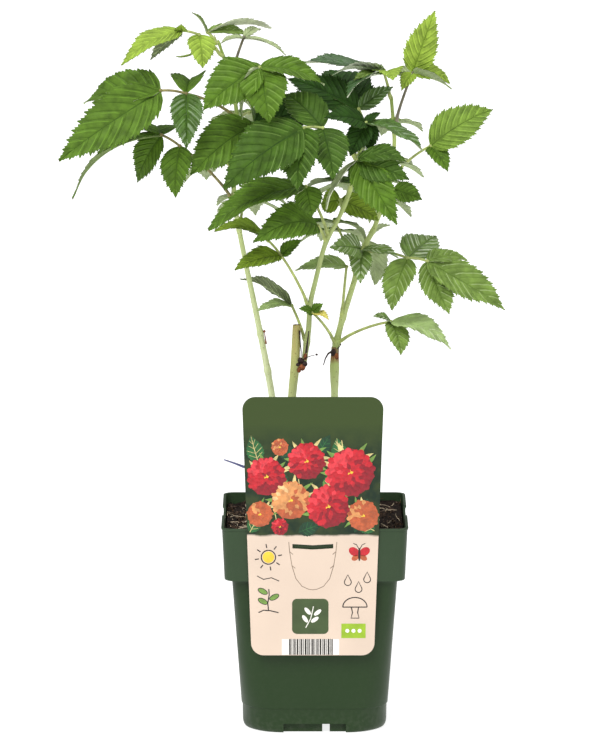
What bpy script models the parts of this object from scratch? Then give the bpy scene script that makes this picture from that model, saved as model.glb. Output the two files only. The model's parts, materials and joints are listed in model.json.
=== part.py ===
"""A raspberry plant with two pruned canes and one whole cane, in a square nursery pot.

Metres, +Z up. The origin is at the middle of the pot's underside, on its central foot.
The pot's label hangs on the -Y side. Sizes below are in millimetres and degrees, and
MM turns them into metres. A bearing is counted from +X towards +Y, and a rise from
the horizontal upwards.
"""
import math
import random
from typing import NamedTuple

import bmesh
import bpy
from mathutils import Vector
from mathutils.bvhtree import BVHTree

MM = 0.001
GAP = 0.3            # between pieces that rest on each other
SEED = 11

# Pot: half widths of its square rings, corner radii and heights
POT_HEIGHT = 150.0
RIM_HALF = 65.0
RIM_LIP = 0.5
RIM_LIP_HEIGHT = 1.6
COLLAR_FOOT_HALF = 63.3
COLLAR_HEIGHT = 38.0
BODY_TOP_HALF = 58.2
BODY_FOOT_HALF = 51.8
FOOT_HALF = 50.9
FOOT_HEIGHT = 18.0
FOOT_STEP = 0.7
FOOT_STEP_HEIGHT = 0.6
FOOT_ROUND = 2.0
FOOT_ROUND_MIDDLE = (1.4, 1.6)   # in from the foot's face, and up from the ground
FOOT_ROUND_HEIGHT = 5.0
WALL = 1.5
EDGE_SOFTNESS = 0.6  # of the collar's lower edge
EDGE_HEIGHT = 0.8
RIM_DRAFT = 0.1
RIM_STEP = 0.3
SHELF_SLOPE = 1.0    # inside, where the body widens into the collar
TOP_CORNER = 8.0
RIM_CORNER = 7.0
INNER_CORNER = 6.0
BODY_TOP_CORNER = 10.0
FOOT_CORNER = 27.0
CORNER_GROWTH = 0.8
CORNER_STEPS = 5
QUARTERS = ((1, 1), (-1, 1), (-1, -1), (1, -1))
POT_LEVELS = (50.0, 82.0)        # rings of the body between its foot and its shelf
FLOOR_ROUND = 0.4    # between the inner wall and the floor
FLOOR_UNDERSIDE = 7.0
FOOT_NOTCH_WIDTH = 44.0
CENTRE_FOOT = 17.0
FOOT_RIBS = ((-21.5, 5.4), (10.6, 21.5))    # from end to end, behind each notch
RIB_OUT = 46.0
RIB_THICKNESS = 2.5
DRAIN_RADIUS = 5.0
DRAIN_OUT = 30.0
RIM_NOTCH_LENGTH = 40.0
RIM_NOTCH_DEPTH = 4.0
RIM_NOTCH_SLOPE = 5.0
CUT_PAST = 5.0       # how far a cutter reaches past what it cuts
SINK = 0.4           # how deep joined pieces reach into each other

# Soil
SOIL_TOP = 141.0
SOIL_FREE = 0.2      # more room at the foot and under the collar
SHELF_RISE = ((0.5, 0.0), (2.2, 1.5))    # up from the shelf's top, and out
COLLAR_SOIL = 5.0    # above the shelf, where the soil has widened
SOIL_BULGE = 0.8
SOIL_EDGE = (2.0, 1.5)   # down from the top and in from the side

# Label: a card that leans on the collar, with a tongue hooked over the rim
LABEL_THICKNESS = 0.8
LABEL_TOP_WIDTH = 98.0
LABEL_FOOT_WIDTH = 86.5
LABEL_ABOVE_RIM = 94.7
LABEL_BELOW_RIM = 91.0
LABEL_CORNER = 9.0
LABEL_X = -1.4
SLOT_WIDTH = 28.5
SLOT_HEIGHT = 3.2
SLOT_BELOW_RIM = 12.5
TONGUE_WIDTH = 24.0
TONGUE_DROP = 4.5
TONGUE_FREE = 0.2
COLLAR_FACE = 35.3   # height of the collar's face between its soft edges
LABEL_CORNER_STEPS = 5

# Foliage
STALK_SIDES = 3
STALK_RADIUS = 1.05
RACHIS_RADIUS = 0.9
KNUCKLE_RADIUS = 1.7
STALK_ARCH = 0.05
STALK_STEP = 20.0
CANE_STEP = 20.0
BLADE_THICKNESS = 1.0
SMALL_BLADE_THICKNESS = 0.7
SMALL_BLADE = 22.0
MIDDLE_BLADE = 30.0
BLADE_FOLD = 9.0
BLADE_ARCH = 0.09
WIDEST_AT = 0.37
BASE_SWELL = 0.6
TIP_TAPER = 1.02
ROOT_HALF = 0.45
TIP_HALF = 0.25
TIP_THINNING = 0.6
STATION_SPREAD = 1.15    # the power that draws a leaflet's rings towards its root
SOCKET_SWELL = 1.25      # of a stalk where it leaves its cane
SOCKET_LENGTH = 3.0
KNUCKLE_BELT = ((0.9, 0.2), (-0.2, 0.9), (-0.9, -0.2), (0.2, -0.9))
KNUCKLE_ENDS = ((-0.8, 0.5), (0.8, 1.0))     # the heights of its two rings and their sizes
CANE_FINE_STEP = 2.0
AXIS_REACH = 4.0
CLEARANCE = 0.35
# Turns in bearing and rise that a leaflet tries, in this order, before it is skipped
TURNS = [(0, 0)] + [
    (step * side, step * lift)
    for step in (4, 8, 12)
    for side, lift in ((0, 1), (0, -1), (1, 0), (-1, 0), (1, 1), (-1, -1), (1, -1), (-1, 1))
]

GREEN_PLASTIC = ("pot_plastic", (0.045, 0.085, 0.040), 0.42)
DAMP_SOIL = ("soil", (0.030, 0.020, 0.014), 0.95)
CARD = ("label_card", (0.80, 0.66, 0.55), 0.55)
BARK = ("cane_bark", (0.36, 0.42, 0.17), 0.60)
LEAF_GREEN = ("leaf", (0.09, 0.21, 0.035), 0.50)


class Way(NamedTuple):
    """A point that a cane passes: its height, its place and its radius there."""

    z: float
    x: float
    y: float
    radius: float


class Blade(NamedTuple):
    """One leaflet: its size, where it points and how far its upper side faces -Y."""

    length: float
    width: float
    bearing: float
    rise: float
    facing: float = 0.0
    fold: float = BLADE_FOLD
    arch: float = BLADE_ARCH


class Stalk(NamedTuple):
    """A straight run of leaf stalk."""

    length: float
    bearing: float
    rise: float


class Leaf(NamedTuple):
    """A compound leaf: its cane, the height it leaves it at, its stalks and leaflets."""

    cane: str
    height: float
    stalk: Stalk
    pair: tuple
    rachis: Stalk = None
    end: tuple = ()


CANES = {
    "cane_left": [
        Way(SOIL_TOP + GAP, -19, 6, 2.6), Way(232, -30.3, 4, 2.3), Way(287, -40.3, 2, 2.0),
        Way(337, -50.3, -2, 1.75), Way(374, -56.4, -5, 1.7), Way(403, -56, -7, 1.6),
        Way(432, -54.5, -10, 1.45), Way(456, -58.2, -11, 1.25), Way(487, -67.5, -12, 0.9),
    ],
    "cane_middle": [
        Way(SOIL_TOP + GAP, -23.3, -12, 3.1), Way(235, -16, -12, 2.95),
        Way(255, -14.1, -12, 3.1), Way(285.5, -12.6, -12, 2.8),
    ],
    "cane_right": [
        Way(SOIL_TOP + GAP, 12.4, 8, 2.7), Way(231, 14.1, 8, 2.5), Way(250, 14.0, 8, 3.3),
        Way(258, 14.2, 8, 3.0), Way(266.5, 14.6, 8, 2.6),
    ],
    "shoot_right": [
        Way(266.5 + GAP, 15, 8, 2.3), Way(284, 19, 8, 2.1), Way(311, 27.4, 10, 1.95),
        Way(336.5, 35, 12, 1.8), Way(353, 43, 13, 1.65), Way(386, 53, 12, 1.5),
        Way(411, 56, 11, 1.4), Way(428, 55, 10, 1.3), Way(446, 53.5, 10, 1.1),
    ],
    "shoot_middle": [
        Way(257, -10.2, -12, 2.0), Way(257.4, -8.2, -12, 2.0), Way(268, -6.3, -11.5, 2.1),
        Way(284, -4.2, -12, 1.9), Way(299, -3.4, -12, 1.8), Way(314, -0.2, -13, 1.7),
        Way(346, 8.2, -15, 1.6), Way(360, 16, -15, 1.45), Way(381, 24.6, -16, 1.35),
        Way(403, 30, -18, 1.2), Way(429, 36, -20, 0.95),
    ],
}
CANE_SIDES = {"cane_middle": 9, "cane_right": 9}
USUAL_CANE_SIDES = 7

LEAVES = {
    "leaf_left_large": Leaf(
        "cane_left", 433, Stalk(47, -144, 24),
        (Blade(41, 29, 86, 6, 0, 32), Blade(41, 25, -88, -60, -12, 25)),
        Stalk(19, -158, 9), (Blade(86, 37, -164, -33, 70), Blade(64, 38, 151, -10, 38))),
    "leaf_left_lower": Leaf(
        "cane_left", 374, Stalk(61, -146, 42), (Blade(37, 23, -100, -65, -10),),
        Stalk(15, 171, 30), (
            Blade(81, 28, 165, -35, 5, 9, 0.15), Blade(40, 24, 151, -60, 40),
            Blade(50, 28, 98, -4, 0))),
    "leaf_left_inner": Leaf(
        "cane_left", 409, Stalk(29, -48, 45), (
            Blade(59, 38, -155, -34, 45), Blade(50, 18, 145, -80, 60),
            Blade(37, 22, 106, 21, -60), Blade(46, 30, 25, 9, 75))),
    "leaf_crown_left": Leaf(
        "cane_left", 476, Stalk(24, -154, 40),
        (Blade(27, 20, -80, -52, -10), Blade(33, 8, 127, -32, 30, 9, -0.2)),
        Stalk(13, -163, 14), (
            Blade(50, 24, -157, -25, 22), Blade(37, 11, 138, -36, -40, 9, 0.05),
            Blade(12, 9, -89, 28, 70))),
    "shoot_tip_left": Leaf(
        "cane_left", 484.5, Stalk(11, 176, 44), (
            Blade(18, 6, -168, 54, 10), Blade(58, 20, 40, 0, -20, 9, 0.07), Blade(36, 14, 30, -8, 25))),
    "leaf_crown_left_back": Leaf(
        "cane_left", 460, Stalk(30, 6, 71), (
            Blade(34, 8, -25, -17, 0), Blade(19, 8, -146, -7, 15), Blade(36, 8, 76, 3, 50))),
    "leaf_front_pale": Leaf(
        "cane_left", 451, Stalk(44, -61, 28), (
            Blade(50, 37, -159, -34, 45), Blade(44, 34, -76, -52, 45), Blade(47, 28, 6, -15, 20),
            Blade(39, 24, -136, -62, -25), Blade(52, 30, 88, -14, 0))),
    "leaf_front_centre": Leaf(
        "shoot_middle", 403, Stalk(50, -126, 33),
        (Blade(40, 30, -73, -53, 15), Blade(41, 28, 141, 32, 35)),
        Stalk(15, -147, 5), (Blade(71, 43, -162, -33, 50), Blade(47, 31, -101, -59, -15))),
    "leaf_centre_back_high": Leaf(
        "shoot_middle", 426, Stalk(20, 106, 35), (
            Blade(59, 36, 113, 21, 20), Blade(58, 26, 154, 19, 60), Blade(29, 13, 14, 32, 60))),
    "leaf_centre_high": Leaf(
        "shoot_middle", 414, Stalk(22, -77, 52), (
            Blade(36, 22, -145, 10, 45), Blade(45, 25, -20, -22, 6), Blade(14, 9, 38, 26, 15),
            Blade(26, 18, -143, -58, 60), Blade(20, 16, -52, -77, 50))),
    "leaf_front_lobed": Leaf(
        "shoot_middle", 381, Stalk(42, -82, 39), (
            Blade(55, 27, -43, -49, 70), Blade(37, 22, -19, 0, 25, 9, 0.15),
            Blade(41, 12, -155, -53, -5), Blade(54, 30, 25, -15, 10),
            Blade(40, 24, -22, -16, 70), Blade(32, 20, -56, -58, 70))),
    "leaf_right_raised": Leaf(
        "shoot_right", 386, Stalk(50, -49, 33), (
            Blade(51, 29, 8, 29, 55, 9, 0.13), Blade(25, 16, -54, -38, 25),
            Blade(22, 11, 50, -23, 45))),
    "leaf_crown_right": Leaf(
        "shoot_right", 424, Stalk(41, -30, 68), (
            Blade(47, 23, -23, 70, 75, 14, 0.03), Blade(28, 18, 12, -16, 40, 9, 0.18),
            Blade(20, 11, -119, -31, 40), Blade(12, 10, -169, 0, 60),
            Blade(34, 20, -34, -14, -35, 9, 0.05))),
    "leaf_crown_arched": Leaf(
        "shoot_right", 443.5, Stalk(20, -131, 66), (
            Blade(60, 30, -170, 9, 5, 9, 0.04), Blade(45, 20, -144, 4, -25),
            Blade(48, 20, -125, -14, -25), Blade(32, 22, -78, 0, 20), Blade(30, 12, -134, -4, 25))),
    "leaf_right_long": Leaf(
        "shoot_right", 334, Stalk(43, -44, 0),
        (Blade(36, 28, 53, 19, 45, 9, 0.05), Blade(39, 25, -127, -61, 10)),
        Stalk(16, -32, -3), (
            Blade(64, 31, -12, -30, 35, 9, 0.02), Blade(42, 24, -52, -53, 30, 9, -0.04),
            Blade(38, 18, 40, -4, 25))),
    "leaf_right_low": Leaf(
        "shoot_right", 270.5, Stalk(46, -28, 22), (
            Blade(27, 20, -66, -50, -15), Blade(47, 27, -16, -21, 14, 9, 0.13),
            Blade(18, 9, -135, 20, 40))),
    "leaf_centre_low": Leaf(
        "shoot_middle", 346, Stalk(19, -114, 40), (Blade(52, 30, -151, -8, 50, 9, 0.25),)),
    "leaf_centre_drooping": Leaf(
        "shoot_middle", 350, Stalk(52, -118, 48), (
            Blade(75, 40, -166, -21, 12, 9, 0.09), Blade(21, 20, -47, -73, 60))),
    "leaf_left_low": Leaf(
        "shoot_middle", 299, Stalk(47, -138, 55),
        (Blade(36, 22, -157, -12, 30), Blade(18, 11, 0, 39, 40)),
        Stalk(14, 168, 48), (Blade(39, 23, -168, 13, 15, 9, 0.16),)),
    "leaf_left_underside": Leaf(
        "shoot_middle", 273, Stalk(30, 125, 52), (
            Blade(42, 25, 165, 26, -30), Blade(27, 15, -153, -2, 15))),
    "leaf_low_small": Leaf(
        "shoot_right", 269, Stalk(43, -120, 38), (
            Blade(12, 8, -40, 39, 55), Blade(12, 8, -148, 22, 50), Blade(16, 9, -45, -8, 20))),
    "leaf_low_pale": Leaf(
        "shoot_right", 287, Stalk(39, -73, 77), (Blade(37, 20, 171, -5, 17),)),
    "leaf_centre_glossy": Leaf(
        "shoot_right", 337, Stalk(12, -100, 0), (
            Blade(32, 19, -135, 11, 60), Blade(25, 16, -95, -60, 0), Blade(30, 15, -31, -5, 20))),
    "leaf_right_back": Leaf(
        "shoot_right", 348, Stalk(14, 111, -33), (
            Blade(18, 8, 130, 32, -50), Blade(25, 9, 44, 21, -50), Blade(34, 26, 40, -74, 0))),
    "leaf_centre_olive": Leaf(
        "shoot_middle", 368, Stalk(17, 96, 15), (
            Blade(31, 20, 6, -29, 50), Blade(18, 18, 142, -14, 70))),
    "leaf_right_inner": Leaf(
        "shoot_right", 376, Stalk(11, 64, 5), (Blade(22, 16, -7, -19, 60),)),
}


class Rear(NamedTuple):
    """A compound leaf on the far side, whose leaflets follow the common rule."""

    cane: str
    height: float
    stalk: Stalk
    size: float


REAR_LEAVES = {
    "leaf_rear_left_high": Rear("cane_left", 428, Stalk(38, 78, 4), 50),
    "leaf_rear_left": Rear("cane_left", 392, Stalk(42, 102, 4), 46),
    "leaf_rear_left_low": Rear("cane_left", 352, Stalk(40, 84, 24), 40),
    "leaf_rear_middle_high": Rear("shoot_middle", 405, Stalk(56, 112, 6), 56),
    "leaf_rear_middle": Rear("shoot_middle", 372, Stalk(52, 84, 8), 58),
    "leaf_rear_right_high": Rear("shoot_right", 420, Stalk(52, 92, 0), 40),
    "leaf_rear_right": Rear("shoot_right", 398, Stalk(46, 98, -6), 38),
    "leaf_rear_right_low": Rear("shoot_right", 362, Stalk(46, 96, 6), 46),
    "leaf_rear_low": Rear("shoot_right", 318, Stalk(42, 112, 40), 36),
}


def direction(bearing, rise):
    """The unit vector that points along a bearing and a rise in degrees."""
    bearing, rise = math.radians(bearing), math.radians(rise)
    level = math.cos(rise)
    return Vector((level * math.cos(bearing), level * math.sin(bearing), math.sin(rise)))


def material(look):
    """The material of a name, a base colour and a roughness."""
    name, colour, roughness = look
    found = bpy.data.materials.get(name)
    if found:
        return found
    made = bpy.data.materials.new(name)
    made.use_nodes = True
    shader = made.node_tree.nodes["Principled BSDF"]
    shader.inputs["Base Color"].default_value = (*colour, 1.0)
    shader.inputs["Roughness"].default_value = roughness
    return made


def add_object(name, mesh, look):
    """Put a mesh in the scene as an object with its material."""
    mesh.materials.clear()
    mesh.materials.append(material(look))
    made = bpy.data.objects.new(name, mesh)
    bpy.context.collection.objects.link(made)
    return made


def smooth(mesh, angle=35.0):
    """Shade a mesh smooth, with its hard edges kept."""
    mesh.shade_smooth()
    mesh.set_sharp_from_angle(angle=math.radians(angle))


def mesh_from_rings(name, rings):
    """A closed mesh through rings of points in millimetres, with its two ends capped."""
    bm = bmesh.new()
    rows = [[bm.verts.new(Vector(point) * MM) for point in ring] for ring in rings]
    count = len(rows[0])
    for low, high in zip(rows, rows[1:]):
        for i in range(count):
            j = (i + 1) % count
            bm.faces.new((low[i], low[j], high[j], high[i]))
    bm.faces.new(list(reversed(rows[0])))
    bm.faces.new(rows[-1])
    bmesh.ops.recalc_face_normals(bm, faces=bm.faces)
    bmesh.ops.triangulate(bm, faces=[face for face in bm.faces if len(face.verts) > 4])
    mesh = bpy.data.meshes.new(name)
    bm.to_mesh(mesh)
    bm.free()
    return mesh


def box_mesh(name, low, high):
    """A box between two corners in millimetres."""
    corners = [(low[0], low[1]), (high[0], low[1]), (high[0], high[1]), (low[0], high[1])]
    rings = [[(x, y, z) for x, y in corners] for z in (low[2], high[2])]
    return mesh_from_rings(name, rings)


def boolean(target, others, operation):
    """Join or cut the other objects into the target, apply it and remove them."""
    group = bpy.data.collections.new("operands")
    bpy.context.scene.collection.children.link(group)
    for other in others:
        for owner in list(other.users_collection):
            owner.objects.unlink(other)
        group.objects.link(other)
    modifier = target.modifiers.new("boolean", "BOOLEAN")
    modifier.operation = operation
    modifier.operand_type = "COLLECTION"
    modifier.collection = group
    modifier.solver = "EXACT"
    graph = bpy.context.evaluated_depsgraph_get()
    result = bpy.data.meshes.new_from_object(target.evaluated_get(graph))
    target.modifiers.clear()
    target.data = result
    for other in others:
        bpy.data.objects.remove(other)
    bpy.data.collections.remove(group)
    return target


def rounded_square(half, corner, z):
    """The points of a square ring with round corners, at height z."""
    points = []
    for quarter, (sign_x, sign_y) in enumerate(QUARTERS):
        for step in range(CORNER_STEPS):
            angle = math.radians(90 * quarter + 90 * step / (CORNER_STEPS - 1))
            points.append((
                sign_x * (half - corner) + corner * math.cos(angle),
                sign_y * (half - corner) + corner * math.sin(angle), z))
    return points


def body_corner(z):
    """The pot body's corner radius at height z."""
    share = min(1.0, z / (POT_HEIGHT - COLLAR_HEIGHT))
    return FOOT_CORNER + (BODY_TOP_CORNER - FOOT_CORNER) * share ** CORNER_GROWTH


def body_half(z):
    """The pot body's outer half width at height z, above its foot."""
    share = (z - FOOT_HEIGHT) / (POT_HEIGHT - COLLAR_HEIGHT - FOOT_HEIGHT)
    return BODY_FOOT_HALF + (BODY_TOP_HALF - BODY_FOOT_HALF) * share


def pot_rings():
    """The pot's rings, from the floor's underside round the rim to the floor's top."""
    shelf = POT_HEIGHT - COLLAR_HEIGHT
    floor_top = FLOOR_UNDERSIDE + WALL
    round_in, round_up = FOOT_ROUND_MIDDLE
    rings = [
        (FOOT_HALF - WALL, FLOOR_UNDERSIDE), (FOOT_HALF - FOOT_ROUND - WALL, 0.0),
        (FOOT_HALF - FOOT_ROUND, 0.0), (FOOT_HALF - FOOT_ROUND + round_in, round_up),
        (FOOT_HALF, FOOT_ROUND_HEIGHT), (BODY_FOOT_HALF - FOOT_STEP, FOOT_HEIGHT - FOOT_STEP_HEIGHT),
        (BODY_FOOT_HALF, FOOT_HEIGHT), *((body_half(z), z) for z in POT_LEVELS),
        (BODY_TOP_HALF, shelf),
    ]
    path = [rounded_square(half, body_corner(z), z) for half, z in rings]
    rim = RIM_HALF - RIM_DRAFT
    lip = POT_HEIGHT - RIM_LIP_HEIGHT
    path += [
        rounded_square(COLLAR_FOOT_HALF - EDGE_SOFTNESS, TOP_CORNER, shelf),
        rounded_square(COLLAR_FOOT_HALF, TOP_CORNER, shelf + EDGE_HEIGHT),
        rounded_square(rim, RIM_CORNER, lip - RIM_STEP),
        rounded_square(rim + RIM_LIP, RIM_CORNER, lip),
        rounded_square(RIM_HALF + RIM_LIP, RIM_CORNER, POT_HEIGHT),
        rounded_square(RIM_HALF - WALL, INNER_CORNER, POT_HEIGHT),
        rounded_square(COLLAR_FOOT_HALF - WALL, INNER_CORNER, shelf + WALL + SHELF_SLOPE),
        rounded_square(BODY_TOP_HALF - WALL, INNER_CORNER, shelf + WALL),
    ]
    inner = [*reversed(POT_LEVELS), FOOT_HEIGHT + 1]
    path += [rounded_square(body_half(z) - WALL, body_corner(z) - 1, z) for z in inner]
    path.append(rounded_square(
        BODY_FOOT_HALF - FOOT_STEP - WALL - FLOOR_ROUND, body_corner(0) - 1, floor_top))
    return path


def cylinder_mesh(name, x, y, low, high, radius, sides=12):
    """An upright cylinder in millimetres."""
    turn = [math.tau * i / sides for i in range(sides)]
    ring = [(x + radius * math.cos(a), y + radius * math.sin(a)) for a in turn]
    return mesh_from_rings(name, [[(px, py, z) for px, py in ring] for z in (low, high)])


def build_pot():
    """The pot: lofted walls, foot notches, drain holes, rim notches, foot and ribs."""
    pot = add_object("pot", mesh_from_rings("pot", pot_rings()), GREEN_PLASTIC)
    reach, half = RIM_HALF + CUT_PAST, FOOT_NOTCH_WIDTH / 2
    under = FLOOR_UNDERSIDE - SINK
    cutters = [
        box_mesh("notch_y", (-half, -reach, -CUT_PAST), (half, reach, under)),
        box_mesh("notch_x", (-reach, -half, -CUT_PAST), (reach, half, under)),
    ]
    notch, dip = RIM_NOTCH_LENGTH / 2, POT_HEIGHT - RIM_NOTCH_DEPTH
    above = POT_HEIGHT + CUT_PAST
    profile = [
        (-notch, above), (-notch + RIM_NOTCH_SLOPE, dip), (notch - RIM_NOTCH_SLOPE, dip),
        (notch, above)]
    for side in (-1, 1):
        ends = sorted((side * (RIM_HALF - CUT_PAST), side * (RIM_HALF + CUT_PAST)))
        cutters.append(mesh_from_rings("rim_notch", [[(x, y, z) for y, z in profile] for x in ends]))
    low, high = FLOOR_UNDERSIDE - CUT_PAST, FLOOR_UNDERSIDE + WALL + CUT_PAST
    for side_x, side_y in QUARTERS:
        place = (side_x * DRAIN_OUT * math.sqrt(0.5), side_y * DRAIN_OUT * math.sqrt(0.5))
        cutters.append(cylinder_mesh("drain", *place, low, high, DRAIN_RADIUS))
    boolean(pot, [add_object("cutter", mesh, GREEN_PLASTIC) for mesh in cutters], "DIFFERENCE")
    half, top = CENTRE_FOOT / 2, FLOOR_UNDERSIDE + WALL / 2
    feet = [box_mesh("foot", (-half, -half, 0), (half, half, top))]
    for along_x, along_y in ((1, 0), (0, 1), (-1, 0), (0, -1)):
        for ends in FOOT_RIBS:
            xs, ys = zip(*(
                (along_x * end + along_y * out, along_y * end - along_x * out)
                for end, out in zip(ends, (RIB_OUT, RIB_OUT - RIB_THICKNESS))))
            feet.append(box_mesh("foot", (min(xs), min(ys), 0), (max(xs), max(ys), top)))
    boolean(pot, [add_object("foot", mesh, GREEN_PLASTIC) for mesh in feet], "UNION")
    smooth(pot.data)
    return pot


def build_soil():
    """The soil: one block that fills the pot to a little under the rim."""
    shelf_top = POT_HEIGHT - COLLAR_HEIGHT + WALL
    inset = WALL + GAP
    collar = COLLAR_FOOT_HALF - inset
    rows = [
        (BODY_FOOT_HALF - FOOT_STEP - inset - FLOOR_ROUND, body_corner(0), FLOOR_UNDERSIDE + inset),
        (body_half(FOOT_HEIGHT + 1) - inset - SOIL_FREE, body_corner(FOOT_HEIGHT), FOOT_HEIGHT + 1),
        *((body_half(z) - inset, body_corner(z), z) for z in POT_LEVELS),
        *((BODY_TOP_HALF - inset + out, TOP_CORNER, shelf_top + up) for up, out in SHELF_RISE),
        (collar - SOIL_FREE, TOP_CORNER, shelf_top + COLLAR_SOIL),
        (collar + SOIL_BULGE, TOP_CORNER, SOIL_TOP - SOIL_EDGE[0]),
        (collar - SOIL_EDGE[1], TOP_CORNER, SOIL_TOP),
    ]
    mesh = mesh_from_rings("soil", [rounded_square(*row) for row in rows])
    smooth(mesh)
    return add_object("soil", mesh, DAMP_SOIL)


def label_lean(z):
    """The y of the collar's front face at height z, carried on above and below it."""
    slope = (RIM_HALF - RIM_DRAFT - COLLAR_FOOT_HALF) / COLLAR_FACE
    return -(RIM_HALF + RIM_LIP + GAP) - slope * (z - POT_HEIGHT)


def label_outline():
    """The card's outline as (x, z): a tall sheet, narrower at its foot, round corners."""
    top, foot = POT_HEIGHT + LABEL_ABOVE_RIM, POT_HEIGHT - LABEL_BELOW_RIM
    half_top, half_foot = LABEL_TOP_WIDTH / 2, LABEL_FOOT_WIDTH / 2
    corners = [
        (half_foot - LABEL_CORNER, foot + LABEL_CORNER, -90),
        (half_top - LABEL_CORNER, top - LABEL_CORNER, 0),
        (-half_top + LABEL_CORNER, top - LABEL_CORNER, 90),
        (-half_foot + LABEL_CORNER, foot + LABEL_CORNER, 180),
    ]
    points = []
    for x, z, start in corners:
        for step in range(LABEL_CORNER_STEPS):
            angle = math.radians(start + 90 * step / (LABEL_CORNER_STEPS - 1))
            points.append((
                LABEL_X + x + LABEL_CORNER * math.cos(angle), z + LABEL_CORNER * math.sin(angle)))
    return points


def build_label():
    """The label: a leaning card with a slot, and a tongue hooked over the pot's rim."""
    outline = label_outline()
    rings = [
        [(x, label_lean(z) - depth, z) for x, z in outline] for depth in (0, LABEL_THICKNESS)]
    label = add_object("label", mesh_from_rings("label", rings), CARD)
    middle = POT_HEIGHT - SLOT_BELOW_RIM
    slot = box_mesh(
        "slot", (LABEL_X - SLOT_WIDTH / 2, -RIM_HALF - CUT_PAST, middle - SLOT_HEIGHT / 2),
        (LABEL_X + SLOT_WIDTH / 2, -RIM_HALF + CUT_PAST, middle + SLOT_HEIGHT / 2))
    boolean(label, [add_object("slot", slot, CARD)], "DIFFERENCE")
    half, sheet = TONGUE_WIDTH / 2, LABEL_THICKNESS
    inside = -RIM_HALF + WALL + GAP + TONGUE_FREE
    bridge_low = POT_HEIGHT + GAP
    bridge = box_mesh(
        "bridge", (LABEL_X - half, label_lean(POT_HEIGHT) - sheet / 2, bridge_low),
        (LABEL_X + half, inside + sheet, bridge_low + sheet))
    drop = box_mesh(
        "drop", (LABEL_X - half, inside, POT_HEIGHT - TONGUE_DROP),
        (LABEL_X + half, inside + sheet, bridge_low + sheet / 2))
    boolean(label, [add_object(m.name, m, CARD) for m in (bridge, drop)], "UNION")
    return label


def spline(ways, step):
    """Points of a smooth curve through a cane's ways, about a step apart, with radii."""
    values = [Vector((way.x, way.y, way.z, way.radius)) for way in ways]
    points = []
    for i in range(len(values) - 1):
        here, there = values[i], values[i + 1]
        before, after = values[max(i - 1, 0)], values[min(i + 2, len(values) - 1)]
        span = (there - here).length
        count = max(1, round(span / step))
        lead = (there - before) * (span / max((there - before).length, 1e-6))
        trail = (after - here) * (span / max((after - here).length, 1e-6))
        if i == 0:
            lead = there - here
        if i == len(values) - 2:
            trail = there - here
        for k in range(count):
            t = k / count
            points.append(
                here * (2 * t**3 - 3 * t**2 + 1) + lead * (t**3 - 2 * t**2 + t)
                + there * (3 * t**2 - 2 * t**3) + trail * (t**3 - t**2))
    points.append(values[-1])
    return [(point.xyz, point.w) for point in points]


def tube_rings(points, sides):
    """Rings of a tube round points with radii, its first and last ring square to it."""
    rings, side = [], None
    for i, (place, radius) in enumerate(points):
        ahead = points[min(i + 1, len(points) - 1)][0] - points[max(i - 1, 0)][0]
        ahead.normalize()
        if side is None:
            side = ahead.orthogonal().normalized()
        side = (side - ahead * side.dot(ahead)).normalized()
        across = ahead.cross(side)
        turn = [math.tau * k / sides for k in range(sides)]
        rings.append([
            place + (side * math.cos(a) + across * math.sin(a)) * radius for a in turn])
    return rings


def level_ring(ring):
    """A ring flattened to its own mean height, for a flat cut."""
    height = sum(point.z for point in ring) / len(ring)
    return [Vector((point.x, point.y, height)) for point in ring]


def build_cane(name):
    """A cane: one tapering limb along its ways, cut flat at its foot."""
    points = spline(CANES[name], CANE_STEP)
    rings = tube_rings(points, CANE_SIDES.get(name, USUAL_CANE_SIDES))
    if name != "shoot_middle":
        rings[0] = level_ring(rings[0])
    if name in ("cane_middle", "cane_right"):
        rings[-1] = level_ring(rings[-1])
    mesh = mesh_from_rings(name, rings)
    smooth(mesh, 60)
    return add_object(name, mesh, BARK)


def cane_at(name, height):
    """The middle and the radius of a cane at a height."""
    points = spline(CANES[name], CANE_FINE_STEP)
    for (low, r_low), (high, r_high) in zip(points, points[1:]):
        if low.z <= height <= high.z:
            share = (height - low.z) / (high.z - low.z)
            return low.lerp(high, share), r_low + (r_high - r_low) * share
    return points[-1]


def blade_frame(blade, turn):
    """A leaflet's axes: along it, across it and out of its upper side."""
    along = direction(blade.bearing + turn[0], blade.rise + turn[1])
    facing = math.radians(blade.facing)
    up = Vector((0, -math.sin(facing), math.cos(facing)))
    normal = (up - along * up.dot(along)).normalized()
    return along, along.cross(normal), normal


def leaf_shape(share):
    """A leaflet's half width, as a share of its widest, at a share of its length."""
    grow, fade = share / WIDEST_AT, (1 - share) / (1 - WIDEST_AT)
    return grow ** BASE_SWELL * fade ** TIP_TAPER


def blade_surface(blade, root, turn, share, across):
    """A point on a leaflet's upper side, at a share of its length and of its half width."""
    along, side, normal = blade_frame(blade, turn)
    half = blade.width / 2 * leaf_shape(share)
    fold = math.radians(blade.fold)
    lift = blade.arch * blade.length * 4 * share * (1 - share)
    point = root + along * blade.length * share + normal * lift
    return point + (side * math.cos(fold) * across + normal * math.sin(fold) * abs(across)) * half


def blade_rings(blade, root, turn, grown=0.0):
    """Rings across a leaflet: upper side out and back along its underside."""
    stations = 3 if blade.length < MIDDLE_BLADE else 4
    thick = SMALL_BLADE_THICKNESS if blade.length < SMALL_BLADE else BLADE_THICKNESS
    _, side, normal = blade_frame(blade, turn)
    rings = []
    for step in range(stations + 1):
        share = (step / stations) ** STATION_SPREAD
        ends = {0: ROOT_HALF, stations: TIP_HALF}
        row = []
        for across in (-1, 0, 1):
            point = blade_surface(blade, root, turn, share, across)
            if step in ends:
                point = blade_surface(blade, root, turn, share, 0) + side * ends[step] * across
            row.append(point + side * across * grown + normal * grown)
        depth = thick * (TIP_THINNING if step == stations else 1.0) + 2 * grown
        rings.append(row + [point - normal * depth for point in reversed(row)])
    return rings


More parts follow.
